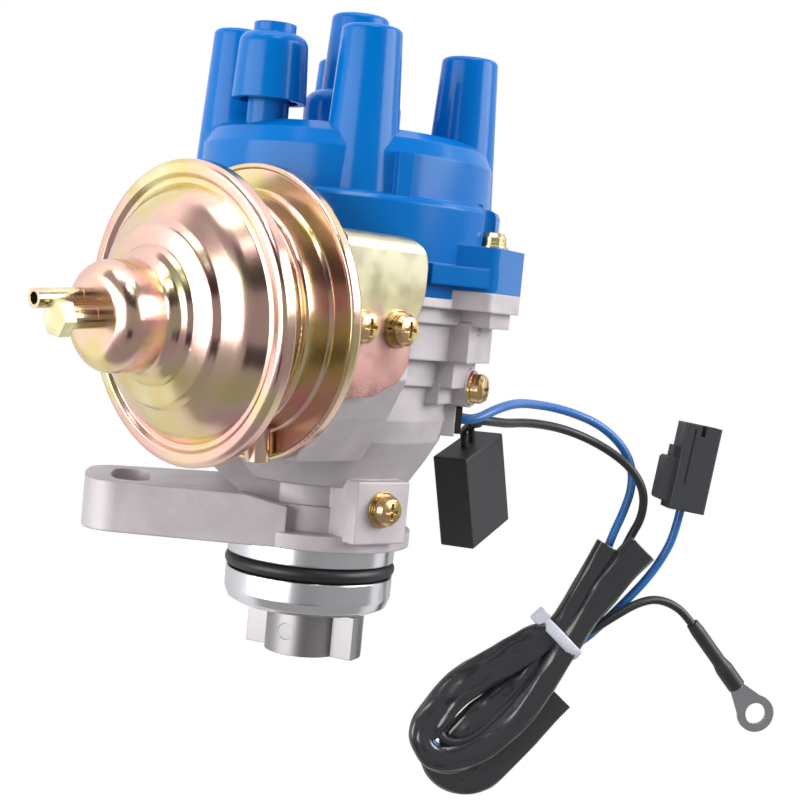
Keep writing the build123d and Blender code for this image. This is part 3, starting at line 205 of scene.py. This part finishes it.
# soft sleeve: black PVC tubing, pressed flat, folded on itself into a hank and tied (mm)
# a section's power below 1 makes it boxier than an ellipse
sleeve = {
    "around": 56,
    "along": 420,
    "wall": 0.45,
    "overTable": 0.3,
    "widePower": 0.75,
    "highPower": 0.9,
    "foldEvery": 15.0,
    "foldsAround": 1.1,
    "foldShare": 0.55,
    "smallFoldShare": 0.45,
    "smallFoldScale": 2.3,
    "ridgeEvery": 22.0,
    "ridgeAcross": 0.22,
    "ridgeSlant": 0.05,
    "ridgeShare": 0.4,
    "ridgeMiddle": 0.6,
}


# evenly spaced points on a Catmull-Rom line through the given ones
def smoothPath(points, count, fineSteps=24):
    points = [Vector(p) for p in points]
    ends = [points[0] * 2 - points[1]] + points + [points[-1] * 2 - points[-2]]
    fine = []
    for a, b, c, d in zip(ends, ends[1:], ends[2:], ends[3:]):
        for i in range(fineSteps):
            t = i / fineSteps
            curved = (2 * a - 5 * b + 4 * c - d) * t * t + (3 * b - a - 3 * c + d) * t ** 3
            fine.append(0.5 * ((2 * b) + (c - a) * t + curved))
    fine.append(points[-1])
    steps = [0]
    for a, b in zip(fine, fine[1:]):
        steps.append(steps[-1] + (b - a).length)
    even = []
    k = 0
    for i in range(count):
        want = steps[-1] * i / (count - 1)
        while k < len(steps) - 2 and steps[k + 1] < want:
            k += 1
        share = (want - steps[k]) / max(steps[k + 1] - steps[k], 1e-9)
        even.append(fine[k].lerp(fine[k + 1], min(share, 1)))
    return even, steps[-1]


def meshPiece(name, vertices, faces, smooth=True):
    mesh = bpy.data.meshes.new(name)
    mesh.from_pydata([tuple(v) for v in vertices], [], faces)
    mesh.update()
    for face in mesh.polygons:
        face.use_smooth = smooth
    piece = bpy.data.objects.new(name, mesh)
    bpy.context.collection.objects.link(piece)
    return piece


# the sections between two stops pass into each other without a kink
def valueAt(stops, t):
    for (ta, a), (tb, b) in zip(stops, stops[1:]):
        if t <= tb:
            share = max(0, (t - ta) / (tb - ta))
            share = share * share * (3 - 2 * share)
            return [x + (y - x) * share for x, y in zip(a, b)]
    return list(stops[-1][1])


# shape gives, along the run: half width, half height, lean in degrees, depth of the creases (mm)
def flatTube(name, points, shape, seed):
    around = sleeve["around"]
    along = sleeve["along"]
    line, length = smoothPath(points, along)
    vertices = []
    for i, p in enumerate(line):
        t = i / (along - 1)
        ahead = (line[min(i + 2, along - 1)] - line[max(i - 2, 0)]).normalized()
        halfWidth, halfHeight, lean, crease = valueAt(shape, t)
        flat = Matrix.Rotation(math.radians(lean), 3, ahead) @ ahead.cross(worldUp).normalized()
        high = flat.cross(ahead).normalized()
        for j in range(around):
            angle = 2 * math.pi * j / around
            c = math.cos(angle)
            s = math.sin(angle)
            x = math.copysign(abs(c) ** sleeve["widePower"], c) * halfWidth
            y = math.copysign(abs(s) ** sleeve["highPower"], s) * halfHeight
            foldX = c * sleeve["foldsAround"]
            foldY = s * sleeve["foldsAround"] + seed
            spot = Vector((t * length / sleeve["foldEvery"], foldX, foldY))
            smallFold = noise.noise(spot * sleeve["smallFoldScale"] + Vector((seed, 3, 1)))
            fold = noise.noise(spot) + sleeve["smallFoldShare"] * smallFold
            ridgeAlong = t * length / sleeve["ridgeEvery"] + x * sleeve["ridgeSlant"]
            ridgeSpot = Vector((ridgeAlong, x * sleeve["ridgeAcross"] + seed, seed * 1.7))
            ridge = 1 - 2 * abs(noise.noise(ridgeSpot))
            ridgeLift = sleeve["ridgeShare"] * (ridge - sleeve["ridgeMiddle"])
            lift = crease * (sleeve["foldShare"] * fold + ridgeLift)
            inward = Vector((c / max(halfWidth, 1), s / max(halfHeight, 1), 0)).normalized()
            vertices.append((p + flat * (x + lift * inward.x) + high * (y + lift * inward.y)) * mm)
    faces = []
    for i in range(along - 1):
        for j in range(around):
            a = i * around + j
            b = i * around + (j + 1) % around
            faces.append((a, b, b + around, a + around))
    floor = lead["floor"] + sleeve["overTable"] * mm
    vertices = [Vector((v.x, v.y, max(v.z, floor))) for v in vertices]
    piece = meshPiece(name, vertices, faces)
    wall = piece.modifiers.new("wall", "SOLIDIFY")
    wall.thickness = sleeve["wall"] * mm
    wall.offset = -1
    return piece


outerRun = [
    (93.8, -2.2, -37.0), (90.7, -8.8, -37.0), (87.1, -16.5, -37.0), (84.3, -22.5, -36.8),
    (80.8, -28.2, -36.6), (74.1, -32.9, -36.6), (66.0, -38.3, -36.6), (58.8, -43.1, -36.8),
    (52.2, -48.4, -36.8), (47.3, -53.9, -36.8), (43.5, -59.6, -36.6), (42.1, -64.8, -36.2),
    (45.0, -68.9, -36.0), (50.3, -70.1, -35.8), (56.5, -68.1, -35.6), (63.1, -63.7, -35.4),
    (69.2, -57.5, -35.2), (74.1, -50.7, -35.2), (78.1, -43.7, -35.3), (81.5, -37.1, -35.6),
    (84.5, -31.8, -36.0), (88.1, -25.4, -36.0), (93.2, -17.1, -36.0), (98.6, -9.0, -36.0),
    (104.2, -2.2, -36.0),
]
outerShape = [
    (0, (3.4, 1.7, 0, 0.2)), (0.09, (3.2, 2.0, -8, 0.4)), (0.16, (3.4, 2.4, -12, 0.5)),
    (0.22, (4.6, 2.4, 14, 1.2)), (0.34, (5.0, 2.2, 20, 1.5)), (0.42, (4.4, 2.1, 12, 1.8)),
    (0.47, (3.0, 2.6, 0, 1.3)), (0.52, (4.2, 2.3, -14, 0.7)), (0.64, (4.1, 2.5, -18, 0.8)),
    (0.76, (3.9, 2.6, -14, 0.9)), (0.83, (3.6, 2.8, -10, 0.5)), (0.92, (4.4, 2.4, 0, 0.5)),
    (1, (5.0, 2.2, 6, 0.3)),
]
lowerRun = [
    (47.1, -69.5, -39.2), (49.5, -74.3, -39.3), (53.8, -77.2, -39.4), (59.1, -77.3, -39.4),
    (64.1, -74.3, -39.5), (69.1, -68.7, -39.5), (74.7, -61.9, -39.6), (80.3, -54.7, -39.6),
    (84.2, -50.1, -39.6),
]
lowerShape = [
    (0, (4.6, 1.6, 0, 0.6)), (0.35, (4.4, 1.9, 0, 1.5)), (0.6, (4.6, 1.5, 0, 0.4)), (1, (4.6, 0.9, 0, 0.1)),
]
innerRun = [
    (80.9, -31.2, -38.8), (74.3, -40.3, -38.4), (69.2, -46.7, -37.8), (63.8, -52.2, -37.4),
    (58.2, -57.4, -37.4), (53.8, -62.7, -37.8), (51.6, -67.6, -38.6),
]
innerShape = [
    (0, (2.8, 2.2, 0, 0.4)), (0.4, (3.8, 2.4, 24, 1.2)), (0.8, (3.6, 2.2, 20, 1.3)), (1, (3.4, 1.6, 0, 0.8)),
]
# the last number only moves the creases, so that the three runs differ
sleeveOuter = flatTube("sleeve_outer", outerRun, outerShape, 2.3)
sleeveLower = flatTube("sleeve_lower", lowerRun, lowerShape, 7.1)
sleeveInner = flatTube("sleeve_inner", innerRun, innerShape, 4.6)


# nylon tie, its strap ribbed across (mm)
tie = {
    "middle": (82.0, -31.6, -37.2),
    "along": (0.665, 0.747, 0),
    "halfWidth": 6.9,
    "halfHeight": 4.0,
    "strap": 3.5,
    "thick": 1.0,
    "edgeThinner": 0.25,
    "ribs": 60,
    "ribHeight": 0.09,
    "lean": 0.4,
    "overTable": 0.05,
    "headMiddle": (82.0, -31.6, -37.6),
    "headOut": 8.9,
    "headHalf": (1.9, 2.4, 2.2),
    "headRound": 0.5,
}


def tieStrap(side, along, steps=240):
    middle = Vector(tie["middle"]) * mm
    vertices = []
    for i in range(steps):
        angle = 2 * math.pi * i / steps
        c = math.cos(angle)
        s = math.sin(angle)
        rib = tie["ribHeight"] * math.sin(angle * tie["ribs"])
        lean = 0.5 * (1 - s) * math.copysign(tie["lean"], c)
        for across in (-1, -0.6, 0.6, 1):
            for outside in (0, 1):
                grow = outside * (tie["thick"] + (rib if abs(across) < 1 else -tie["edgeThinner"]))
                x = math.copysign(abs(c) ** 0.8, c) * (tie["halfWidth"] + grow)
                z = math.copysign(abs(s) ** 0.9, s) * (tie["halfHeight"] + grow)
                y = across * tie["strap"] / 2 + lean
                vertices.append(middle + (side * x + worldUp * z + along * y) * mm)
    faces = []
    for i in range(steps):
        a = i * 8
        b = (i + 1) % steps * 8
        for first, second in ((1, 3), (3, 5), (5, 7), (7, 6), (6, 4), (4, 2), (2, 0), (0, 1)):
            faces.append((a + first, a + second, b + second, b + first))
    floor = lead["floor"] + tie["overTable"] * mm
    return meshPiece("tie_strap", [Vector((v.x, v.y, max(v.z, floor))) for v in vertices], faces)


tieAlong = Vector(tie["along"]).normalized()
tieSide = tieAlong.cross(worldUp).normalized()
tieStrapPiece = tieStrap(tieSide, tieAlong)
headSpot = Vector(tie["headMiddle"]) * mm - tieSide * tie["headOut"] * mm
headX, headY, headZ = tie["headHalf"]
headCorners = [Vector((x, y, z)) for x in (-headX, headX) for y in (-headY, headY) for z in (-headZ, headZ)]
headTurn = Matrix((tieSide, tieAlong, worldUp)).transposed()
headFaces = [(0, 1, 3, 2), (4, 6, 7, 5), (0, 4, 5, 1), (2, 3, 7, 6), (0, 2, 6, 4), (1, 5, 7, 3)]
headPoints = [headSpot + headTurn @ c * mm for c in headCorners]
tieHead = meshPiece("tie_head", headPoints, headFaces, smooth=False)
rounding = tieHead.modifiers.new("rounding", "BEVEL")
rounding.width = tie["headRound"] * mm
rounding.segments = 3

for piece in (tieStrapPiece, tieHead):
    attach(piece, "body")
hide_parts("cable_tie")
for piece in (sleeveOuter, sleeveLower, sleeveInner, blueWire, blackWire):
    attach(piece, "body")
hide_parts("sleeve_hank")
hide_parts("blue_lead", "blue_tail")
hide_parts("black_lead", "earth_tail")
print("hank folded")


# die cast aluminium, bead blasted: an even, dull grey with a fine grit
# the pilot below the flange is turned on a lathe: smooth and bright, with fine rings (sizes in mm)
cast = {
    "colour": "#C9C2C6",
    "low": "#BBB5B9",
    "pits": "#8E8B8A",
    "turned": "#E2E1E6",
    "metal": 0.55,
    "turnedMetalMore": 0.45,
    "rough": 0.6,
    "turnedRoughLess": 0.38,
    "gritSize": 0.34,
    "patchSize": 9,
    "ringSize": 0.5,
    "flangeUnder": -0.1,
    "pilotRadius": 22.6,
}
castMetal, tree, shader, place, edge = newMaterial("cast aluminium, bead blasted", 0.7)
placeX = addNode(tree, "SeparateXYZ", {0: place}, output="X")
placeY = placeX.node.outputs["Y"]
placeZ = placeX.node.outputs["Z"]
belowFlange = addNode(tree, "Math", {0: placeY, 1: cast["flangeUnder"] * mm}, operation="LESS_THAN")
xSquared = addNode(tree, "Math", {0: placeX, 1: placeX}, operation="MULTIPLY")
zSquared = addNode(tree, "Math", {0: placeZ, 1: placeZ}, operation="MULTIPLY")
radiusSquared = addNode(tree, "Math", {0: xSquared, 1: zSquared}, operation="ADD")
radius = addNode(tree, "Math", {0: radiusSquared}, operation="SQRT")
nearAxis = addNode(tree, "Math", {0: radius, 1: cast["pilotRadius"] * mm}, operation="LESS_THAN")
turned = addNode(tree, "Math", {0: belowFlange, 1: nearAxis}, operation="MULTIPLY")
gritPlace = addNode(tree, "Mapping", {"Vector": place, "Scale": perBlob(cast["gritSize"])})
grit = addNode(tree, "TexNoise", {"Vector": gritPlace, "Scale": 1.0, "Detail": 4, "Roughness": 0.5})
patchPlace = addNode(tree, "Mapping", {"Vector": place, "Scale": perBlob(cast["patchSize"])})
patches = addNode(tree, "TexNoise", {"Vector": patchPlace, "Scale": 1.0, "Detail": 3, "Roughness": 0.5})
patchShare = addNode(tree, "ValToRGB", {0: patches}, [(0.35, 0.0), (0.65, 1.0)])
patched = addNode(tree, "Mix", {0: patchShare, 6: cast["low"], 7: cast["colour"]}, output=2, data_type="RGBA")
pitShare = addNode(tree, "ValToRGB", {0: grit}, [(0.3, 0.16), (0.62, 0.0)])
pitted = addNode(tree, "Mix", {0: pitShare, 6: patched, 7: cast["pits"]}, output=2, data_type="RGBA")
castColour = addNode(tree, "Mix", {0: turned, 6: pitted, 7: cast["turned"]}, output=2, data_type="RGBA")
# the lathe's rings: marks about 0.2 mm high, drawn out 30 mm long
ringPlace = addNode(tree, "Mapping", {"Vector": place, "Scale": perBlob(cast["ringSize"], (60, 0.35, 60))})
rings = addNode(tree, "TexNoise", {"Vector": ringPlace, "Scale": 1.0, "Detail": 2, "Roughness": 0.5})
patchRelief = {"Height": patches, "Strength": 0.3, "Distance": 0.25 * mm, "Normal": edge}
patchBump = addNode(tree, "Bump", patchRelief)
gritRelief = {"Height": grit, "Strength": 0.55, "Distance": 0.05 * mm, "Normal": patchBump}
gritBump = addNode(tree, "Bump", gritRelief)
ringBump = addNode(tree, "Bump", {"Height": rings, "Strength": 0.6, "Distance": 0.012 * mm, "Normal": edge})
castNormal = addNode(tree, "Mix", {0: turned, 4: gritBump, 5: ringBump}, output=1, data_type="VECTOR")
moreMetal = addNode(tree, "Math", {0: turned, 1: cast["turnedMetalMore"]}, operation="MULTIPLY")
castMetallic = addNode(tree, "Math", {0: cast["metal"], 1: moreMetal}, operation="ADD")
smoother = addNode(tree, "Math", {0: turned, 1: cast["turnedRoughLess"]}, operation="MULTIPLY")
castRough = addNode(tree, "Math", {0: cast["rough"], 1: smoother}, operation="SUBTRACT")
feed(tree, shader, {
    "Base Color": castColour,
    "Metallic": castMetallic,
    "Roughness": castRough,
    "Normal": castNormal,
})
wear("housing", castMetal)

# blue phenolic moulding: hard and slightly glossy, with faint flow marks
phenolic = {
    "colour": "#0068B6",
    "deep": "#0060AC",
    "streakSize": 9,
    "fineSize": 0.5,
    "specular": 0.2,
}
capPlastic, tree, shader, place, edge = newMaterial("blue phenolic moulding", 0.6)
flowPlace = addNode(tree, "Mapping", {"Vector": place, "Scale": perBlob(phenolic["streakSize"], (1, 3, 1))})
flow = addNode(tree, "TexNoise", {"Vector": flowPlace, "Scale": 1.0, "Detail": 3, "Roughness": 0.5})
finePlace = addNode(tree, "Mapping", {"Vector": place, "Scale": perBlob(phenolic["fineSize"])})
fine = addNode(tree, "TexNoise", {"Vector": finePlace, "Scale": 1.0, "Detail": 3, "Roughness": 0.5})
blue = addNode(tree, "Mix", {0: flow, 6: phenolic["deep"], 7: phenolic["colour"]}, output=2, data_type="RGBA")
blueRough = addNode(tree, "ValToRGB", {0: fine}, [(0.3, 0.15), (0.7, 0.21)])
flowBump = addNode(tree, "Bump", {"Height": flow, "Strength": 0.4, "Distance": 0.12 * mm, "Normal": edge})
fineRelief = {"Height": fine, "Strength": 0.5, "Distance": 0.003 * mm, "Normal": flowBump}
fineBump = addNode(tree, "Bump", fineRelief)
feed(tree, shader, {
    "Base Color": blue,
    "Roughness": blueRough,
    "Normal": fineBump,
    "Specular IOR Level": phenolic["specular"],
})
wear("distributor_cap", capPlastic)


# pressed or turned steel, zinc plated and passivated: a bright mirror with soft clouds of colour
# the sizes of clouds, edges and scratches are in mm, and a smear's is a share of its cloud's
zinc = {
    "name": "yellow passivated zinc on pressed steel",
    "stops": [(0.34, "#E6DAB0"), (0.42, "#DCC98E"), (0.5, "#E6C6B0"), (0.58, "#E4B6AE"), (0.68, "#DCCF9E")],
    "cloud": 30,
    "rough": 0.2,
    "roundEdge": 0.4,
    "on": "vacuum_front_cover vacuum_drum vacuum_rear_cover lower_stub rod_plates spring_seat pull_rod",
}
fittings = {
    "name": "pale zinc on plug and side tube",
    "stops": [(0.36, "#EDE6C4"), (0.5, "#E2D8A6"), (0.62, "#E6C4B2")],
    "cloud": 8,
    "rough": 0.2,
    "roundEdge": 0.2,
    "on": "vacuum_nipple port_plug",
}
gold = {
    "name": "yellow zinc on screws and washers",
    "stops": [(0.36, "#E0CFA0"), (0.5, "#D2B67E"), (0.62, "#CFA083")],
    "cloud": 5,
    "rough": 0.22,
    "roundEdge": 0.2,
    "on": "cap_screws housing_screws screw_washers",
}
plating = {
    "smear": 0.3,
    "smearShare": 0.2,
    "scratchSize": 0.25,
    "scratchStretch": (1, 9, 2),
    "scratchDepth": 0.004,
}


def platedSteel(own):
    material, tree, shader, place, edge = newMaterial(own["name"], own["roundEdge"])
    cloudPlace = addNode(tree, "Mapping", {"Vector": place, "Scale": perBlob(own["cloud"])})
    clouds = addNode(tree, "TexNoise", {"Vector": cloudPlace, "Scale": 1.0, "Detail": 2, "Roughness": 0.5})
    smearScale = perBlob(own["cloud"] * plating["smear"], (1, 2.5, 1))
    smearPlace = addNode(tree, "Mapping", {"Vector": place, "Scale": smearScale})
    smears = addNode(tree, "TexNoise", {"Vector": smearPlace, "Scale": 1.0, "Detail": 4, "Roughness": 0.5})
    cloudPart = addNode(tree, "Math", {0: clouds, 1: 1 - plating["smearShare"]}, operation="MULTIPLY")
    smearPart = addNode(tree, "Math", {0: smears, 1: plating["smearShare"]}, operation="MULTIPLY")
    both = addNode(tree, "Math", {0: cloudPart, 1: smearPart}, operation="ADD")
    tint = addNode(tree, "ValToRGB", {0: both}, own["stops"])
    scratchScale = perBlob(plating["scratchSize"], plating["scratchStretch"])
    scratchPlace = addNode(tree, "Mapping", {"Vector": place, "Scale": scratchScale})
    scratch = addNode(tree, "TexNoise", {"Vector": scratchPlace, "Scale": 1.0, "Detail": 3, "Roughness": 0.5})
    rough = addNode(tree, "ValToRGB", {0: smears}, [(0.3, own["rough"] * 0.8), (0.7, own["rough"] * 1.25)])
    relief = {"Height": scratch, "Strength": 0.5, "Distance": plating["scratchDepth"] * mm, "Normal": edge}
    scratched = addNode(tree, "Bump", relief)
    feed(tree, shader, {"Base Color": tint, "Metallic": 1.0, "Roughness": rough, "Normal": scratched})
    wear(own["on"], material)


for own in (zinc, fittings, gold):
    platedSteel(own)

# the bracket's zinc is duller: pinkish low down, greenish at the bend, with dark specks thickest near its
# foot (mm)
bracketZinc = {
    "stops": [(0.3, "#C79A93"), (0.48, "#CFA9A0"), (0.58, "#BDB58F"), (0.8, "#C4BFA4")],
    "speckColour": "#5A4B46",
    "foot": 38,
    "height": 44,
    "blotchSize": 7,
    "speckSize": 0.5,
}
bracketPlate, tree, shader, place, edge = newMaterial("dull yellow zinc, bracket", 0.4)
upright = addNode(tree, "SeparateXYZ", {0: place}, output=1)
overFoot = addNode(tree, "Math", {0: upright, 1: bracketZinc["foot"] * mm}, operation="SUBTRACT")
heightOn = addNode(tree, "Math", {0: overFoot, 1: 1 / (bracketZinc["height"] * mm)}, operation="MULTIPLY")
blotchPlace = addNode(tree, "Mapping", {"Vector": place, "Scale": perBlob(bracketZinc["blotchSize"])})
blotches = addNode(tree, "TexNoise", {"Vector": blotchPlace, "Scale": 1.0, "Detail": 4, "Roughness": 0.5})
eitherWay = addNode(tree, "Math", {0: blotches, 1: 0.5}, operation="SUBTRACT")
halved = addNode(tree, "Math", {0: eitherWay, 1: 0.5}, operation="MULTIPLY")
uneven = addNode(tree, "Math", {0: heightOn, 1: halved}, operation="ADD")
tint = addNode(tree, "ValToRGB", {0: uneven}, bracketZinc["stops"])
speckPlace = addNode(tree, "Mapping", {"Vector": place, "Scale": perBlob(bracketZinc["speckSize"])})
speckNoise = addNode(tree, "TexNoise", {"Vector": speckPlace, "Scale": 1.0, "Detail": 4, "Roughness": 0.5})
speckShare = addNode(tree, "ValToRGB", {0: speckNoise}, [(0.42, 0.0), (0.6, 1.0)])
nearFoot = addNode(tree, "ValToRGB", {0: heightOn}, [(0.02, 0.75), (0.22, 0.0)])
specks = addNode(tree, "Math", {0: speckShare, 1: nearFoot}, operation="MULTIPLY")
# dark specks mixed into the tint, thickest just above the foot
speckled = addNode(tree, "Mix", {0: specks, 6: tint, 7: bracketZinc["speckColour"]}, output=2, data_type="RGBA")
dull = addNode(tree, "ValToRGB", {0: blotches}, [(0.35, 0.28), (0.65, 0.4)])
blotchRelief = {"Height": blotches, "Strength": 0.4, "Distance": 0.06 * mm, "Normal": edge}
blotchBump = addNode(tree, "Bump", blotchRelief)
feed(tree, shader, {"Base Color": speckled, "Metallic": 1.0, "Roughness": dull, "Normal": blotchBump})
wear("unit_bracket", bracketPlate)


# plain finishes, each with a fine grain in its colour, gloss and surface
# grain is its size and depth its height, both in mm; grains too fine to show are drawn coarser
usual = {
    "metal": 0.0,
    "grain": 0.4,
    "depth": 0.01,
    "roundEdge": 0.2,
    "spread": 0.15,
}
finishes = {
    # bare metals: brass is the brightest, then machined steel, while the dog, tin and bronze are duller
    "machined steel": {
        "colour": "#9A9A9C", "rough": 0.3, "metal": 1.0, "grain": 0.3, "depth": 0.004,
        "on": "shaft bearing_outer_race bearing_balls bearing_inner_race dog_pin weight_plate "
              "advance_weight_a advance_weight_b advance_sleeve reluctor brush_spring return_spring "
              "advance_springs retaining_ring rod_clip pole_piece base_plate pickup_plate",
    },
    "sintered and turned steel": {
        "colour": "#A6A2A3", "rough": 0.36, "metal": 1.0, "grain": 0.25, "depth": 0.012,
        "on": "drive_dog",
    },
    "sintered bronze": {
        "colour": "#A67C49", "rough": 0.45, "metal": 1.0, "grain": 0.2,
        "on": "lower_bush thrust_washer",
    },
    "brass": {
        "colour": "#C9A35B", "rough": 0.28, "metal": 1.0,
        "on": "cap_terminals rotor_contact",
    },
    "tinned copper": {
        "colour": "#B4B4B7", "rough": 0.38, "metal": 1.0, "grain": 0.3,
        "on": "connector_terminals ring_terminal",
    },
    # rubbers and black mouldings: nearly black, told apart by their gloss
    "nitrile rubber": {
        "colour": "#1B1C1E", "rough": 0.42, "grain": 0.5, "roundEdge": 0.0,
        "on": "pilot_seal oil_seal rear_diaphragm front_diaphragm",
    },
    "moulded grommet rubber": {
        "colour": "#1E1E20", "rough": 0.6, "grain": 0.5, "depth": 0.02,
        "on": "wire_grommet",
    },
    "black moulding": {
        "colour": "#222224", "rough": 0.5,
        "on": "rotor_arm pickup_coil cap_gasket centre_brush",
    },
    "potting box, black": {
        "colour": "#2E2F32", "rough": 0.5, "grain": 0.8, "depth": 0.015, "roundEdge": 0.5,
        "on": "noise_filter",
    },
    "nylon connector, black": {
        "colour": "#36373B", "rough": 0.45, "grain": 0.5, "depth": 0.012, "roundEdge": 0.3,
        "on": "connector_housing",
    },
    "black insulation": {
        "colour": "#26272A", "rough": 0.42, "grain": 0.6, "roundEdge": 0.0,
        "on": "heat_shrink filter_lead_a filter_lead_b",
    },
}


def plain(name, changes):
    own = {**usual, **changes}
    material, tree, shader, place, edge = newMaterial(name, own["roundEdge"])
    grainPlace = addNode(tree, "Mapping", {"Vector": place, "Scale": perBlob(own["grain"])})
    grain = addNode(tree, "TexNoise", {"Vector": grainPlace, "Scale": 1.0, "Detail": 3, "Roughness": 0.5})
    base = linear(own["colour"])
    darker = [c * (1 - own["spread"]) for c in base[:3]] + [1]
    tint = addNode(tree, "Mix", {0: grain, 6: darker, 7: base}, output=2, data_type="RGBA")
    glossy = own["rough"] * 0.9
    dull = min(1, own["rough"] * 1.1)
    rough = addNode(tree, "ValToRGB", {0: grain}, [(0.3, glossy), (0.7, dull)])
    relief = {"Height": grain, "Strength": 0.6, "Distance": own["depth"] * mm}
    if edge is not None:
        relief["Normal"] = edge
    normal = addNode(tree, "Bump", relief)
    feed(tree, shader, {"Base Color": tint, "Roughness": rough, "Metallic": own["metal"], "Normal": normal})
    return material


for name, own in finishes.items():
    wear(own["on"], plain(name, own))

# natural nylon is milky, with hardly any grain
tieNylon = {"colour": "#C9CBD6", "rough": 0.42, "grain": 0.6, "depth": 0.02, "roundEdge": 0.0, "spread": 0.06}
nylon = plain("natural nylon, ribbed strap", tieNylon)
for piece in (tieStrapPiece, tieHead):
    piece.data.materials.append(nylon)

# soft PVC has an oily skin, so the sleeve gets a coat over its wrinkles
sleevePvc = {"colour": "#26272B", "rough": 0.26, "grain": 3.0, "depth": 0.05, "roundEdge": 0.0}
sleeveCoat = {"Coat Weight": 0.8, "Coat Roughness": 0.14}
sleeveVinyl = plain("soft PVC sleeve", sleevePvc)
feed(sleeveVinyl.node_tree, sleeveVinyl.node_tree.nodes["Principled BSDF"], sleeveCoat)
for piece in (sleeveOuter, sleeveLower, sleeveInner):
    piece.data.materials.append(sleeveVinyl)

# the wires' PVC is harder: smooth, the blue one glossier than the black
bluePvc = {"colour": "#2F6DB4", "rough": 0.3, "grain": 0.8, "roundEdge": 0.0}
blackPvc = {"colour": "#26272B", "rough": 0.4, "grain": 0.8, "roundEdge": 0.0}
blueWire.data.materials.append(plain("blue PVC insulation", bluePvc))
blackWire.data.materials.append(plain("black PVC insulation", blackPvc))
print("materials ready")


# white paper sweep: plain white for the camera, a pale matte floor for the light
sweep = {
    "half": 3,
    "under": -42.1 * mm,
    "matte": (0.8, 0.8, 0.8, 1),
    "seen": (1, 1, 1, 1),
}
half = sweep["half"]
under = sweep["under"]
sweepCorners = [(-half, -half, under), (half, -half, under), (half, half, under), (-half, half, under)]
floor = meshPiece("floor", sweepCorners, [(0, 1, 2, 3)], smooth=False)
paper = bpy.data.materials.new("white paper sweep")
paper.use_nodes = True
tree = paper.node_tree
tree.nodes.clear()
cameraRay = addNode(tree, "LightPath", output="Is Camera Ray")
white = addNode(tree, "Emission", {"Color": sweep["seen"], "Strength": 1.0})
matte = addNode(tree, "BsdfDiffuse", {"Color": sweep["matte"]})
seen = addNode(tree, "MixShader", {0: cameraRay, 1: matte, 2: white})
paperOut = tree.nodes.new("ShaderNodeOutputMaterial")
tree.links.new(seen, paperOut.inputs["Surface"])
floor.data.materials.append(paper)


# three soft boxes round the object and one over it, all aimed at its middle (metres and watts)
studio = {
    "aim": (0, 0.05, 0),
    "left box": {"spot": (-0.95, 0.1, 0.55), "width": 0.7, "height": 1.2, "watts": 13},
    "right box": {"spot": (1.0, 0.5, 0.35), "width": 0.6, "height": 0.9, "watts": 13},
    "top box": {"spot": (0.05, 0.75, 0.7), "width": 0.35, "height": 0.35, "watts": 5},
    "back box": {"spot": (-0.1, 1.1, 0.25), "width": 1.2, "height": 0.4, "watts": 6},
}


def softbox(name):
    box = studio[name]
    lampData = bpy.data.lights.new(name, "AREA")
    lampData.shape = "RECTANGLE"
    lampData.size = box["width"]
    lampData.size_y = box["height"]
    lampData.energy = box["watts"]
    lamp = bpy.data.objects.new(name, lampData)
    lamp.location = box["spot"]
    lamp.rotation_mode = "QUATERNION"
    lamp.rotation_quaternion = (Vector(studio["aim"]) - Vector(box["spot"])).to_track_quat("-Z", "Y")
    bpy.context.collection.objects.link(lamp)


for name in ("left box", "right box", "top box", "back box"):
    softbox(name)

# black flats beside the lens, which the plated covers mirror
flats = {
    "aim": (-0.02, 0.06, 0.03),
    "colour": "#050505",
    "black flat over the lens": {"spot": (-0.02, 0.44, 0.62), "width": 0.7, "height": 0.4},
    "black flat under the lens": {"spot": (-0.05, -0.28, 0.62), "width": 0.3, "height": 0.2},
}


def card(name):
    size = flats[name]
    spot = Vector(size["spot"])
    turn = (Vector(flats["aim"]) - spot).to_track_quat("-Z", "Y").to_matrix()
    corners = []
    for x, y in ((-1, -1), (1, -1), (1, 1), (-1, 1)):
        corners.append(turn @ Vector((x * size["width"] / 2, y * size["height"] / 2, 0)) + spot)
    flat = meshPiece(name, corners, [(0, 1, 2, 3)], smooth=False)
    cloth = bpy.data.materials.new(name)
    cloth.use_nodes = True
    clothTree = cloth.node_tree
    clothShader = clothTree.nodes["Principled BSDF"]
    feed(clothTree, clothShader, {"Base Color": linear(flats["colour"]), "Roughness": 1})
    flat.data.materials.append(cloth)


for name in ("black flat over the lens", "black flat under the lens"):
    card(name)
print("floor and lights placed")

# a dim room round the object, and plain white behind it for the camera
roomLight = {
    "strength": 0.36,
    "extraSeen": 0.64,
}
world = bpy.data.worlds.new("studio")
bpy.context.scene.world = world
world.use_nodes = True
room = world.node_tree
background = room.nodes["Background"]
background.inputs["Color"].default_value = (1, 1, 1, 1)
seenDirect = addNode(room, "LightPath", output="Is Camera Ray")
extra = addNode(room, "Math", {0: seenDirect, 1: roomLight["extraSeen"]}, operation="MULTIPLY")
strength = addNode(room, "Math", {0: roomLight["strength"], 1: extra}, operation="ADD")
room.links.new(strength, background.inputs["Strength"])
bpy.context.scene.view_settings.view_transform = "Standard"

print("scene ready")
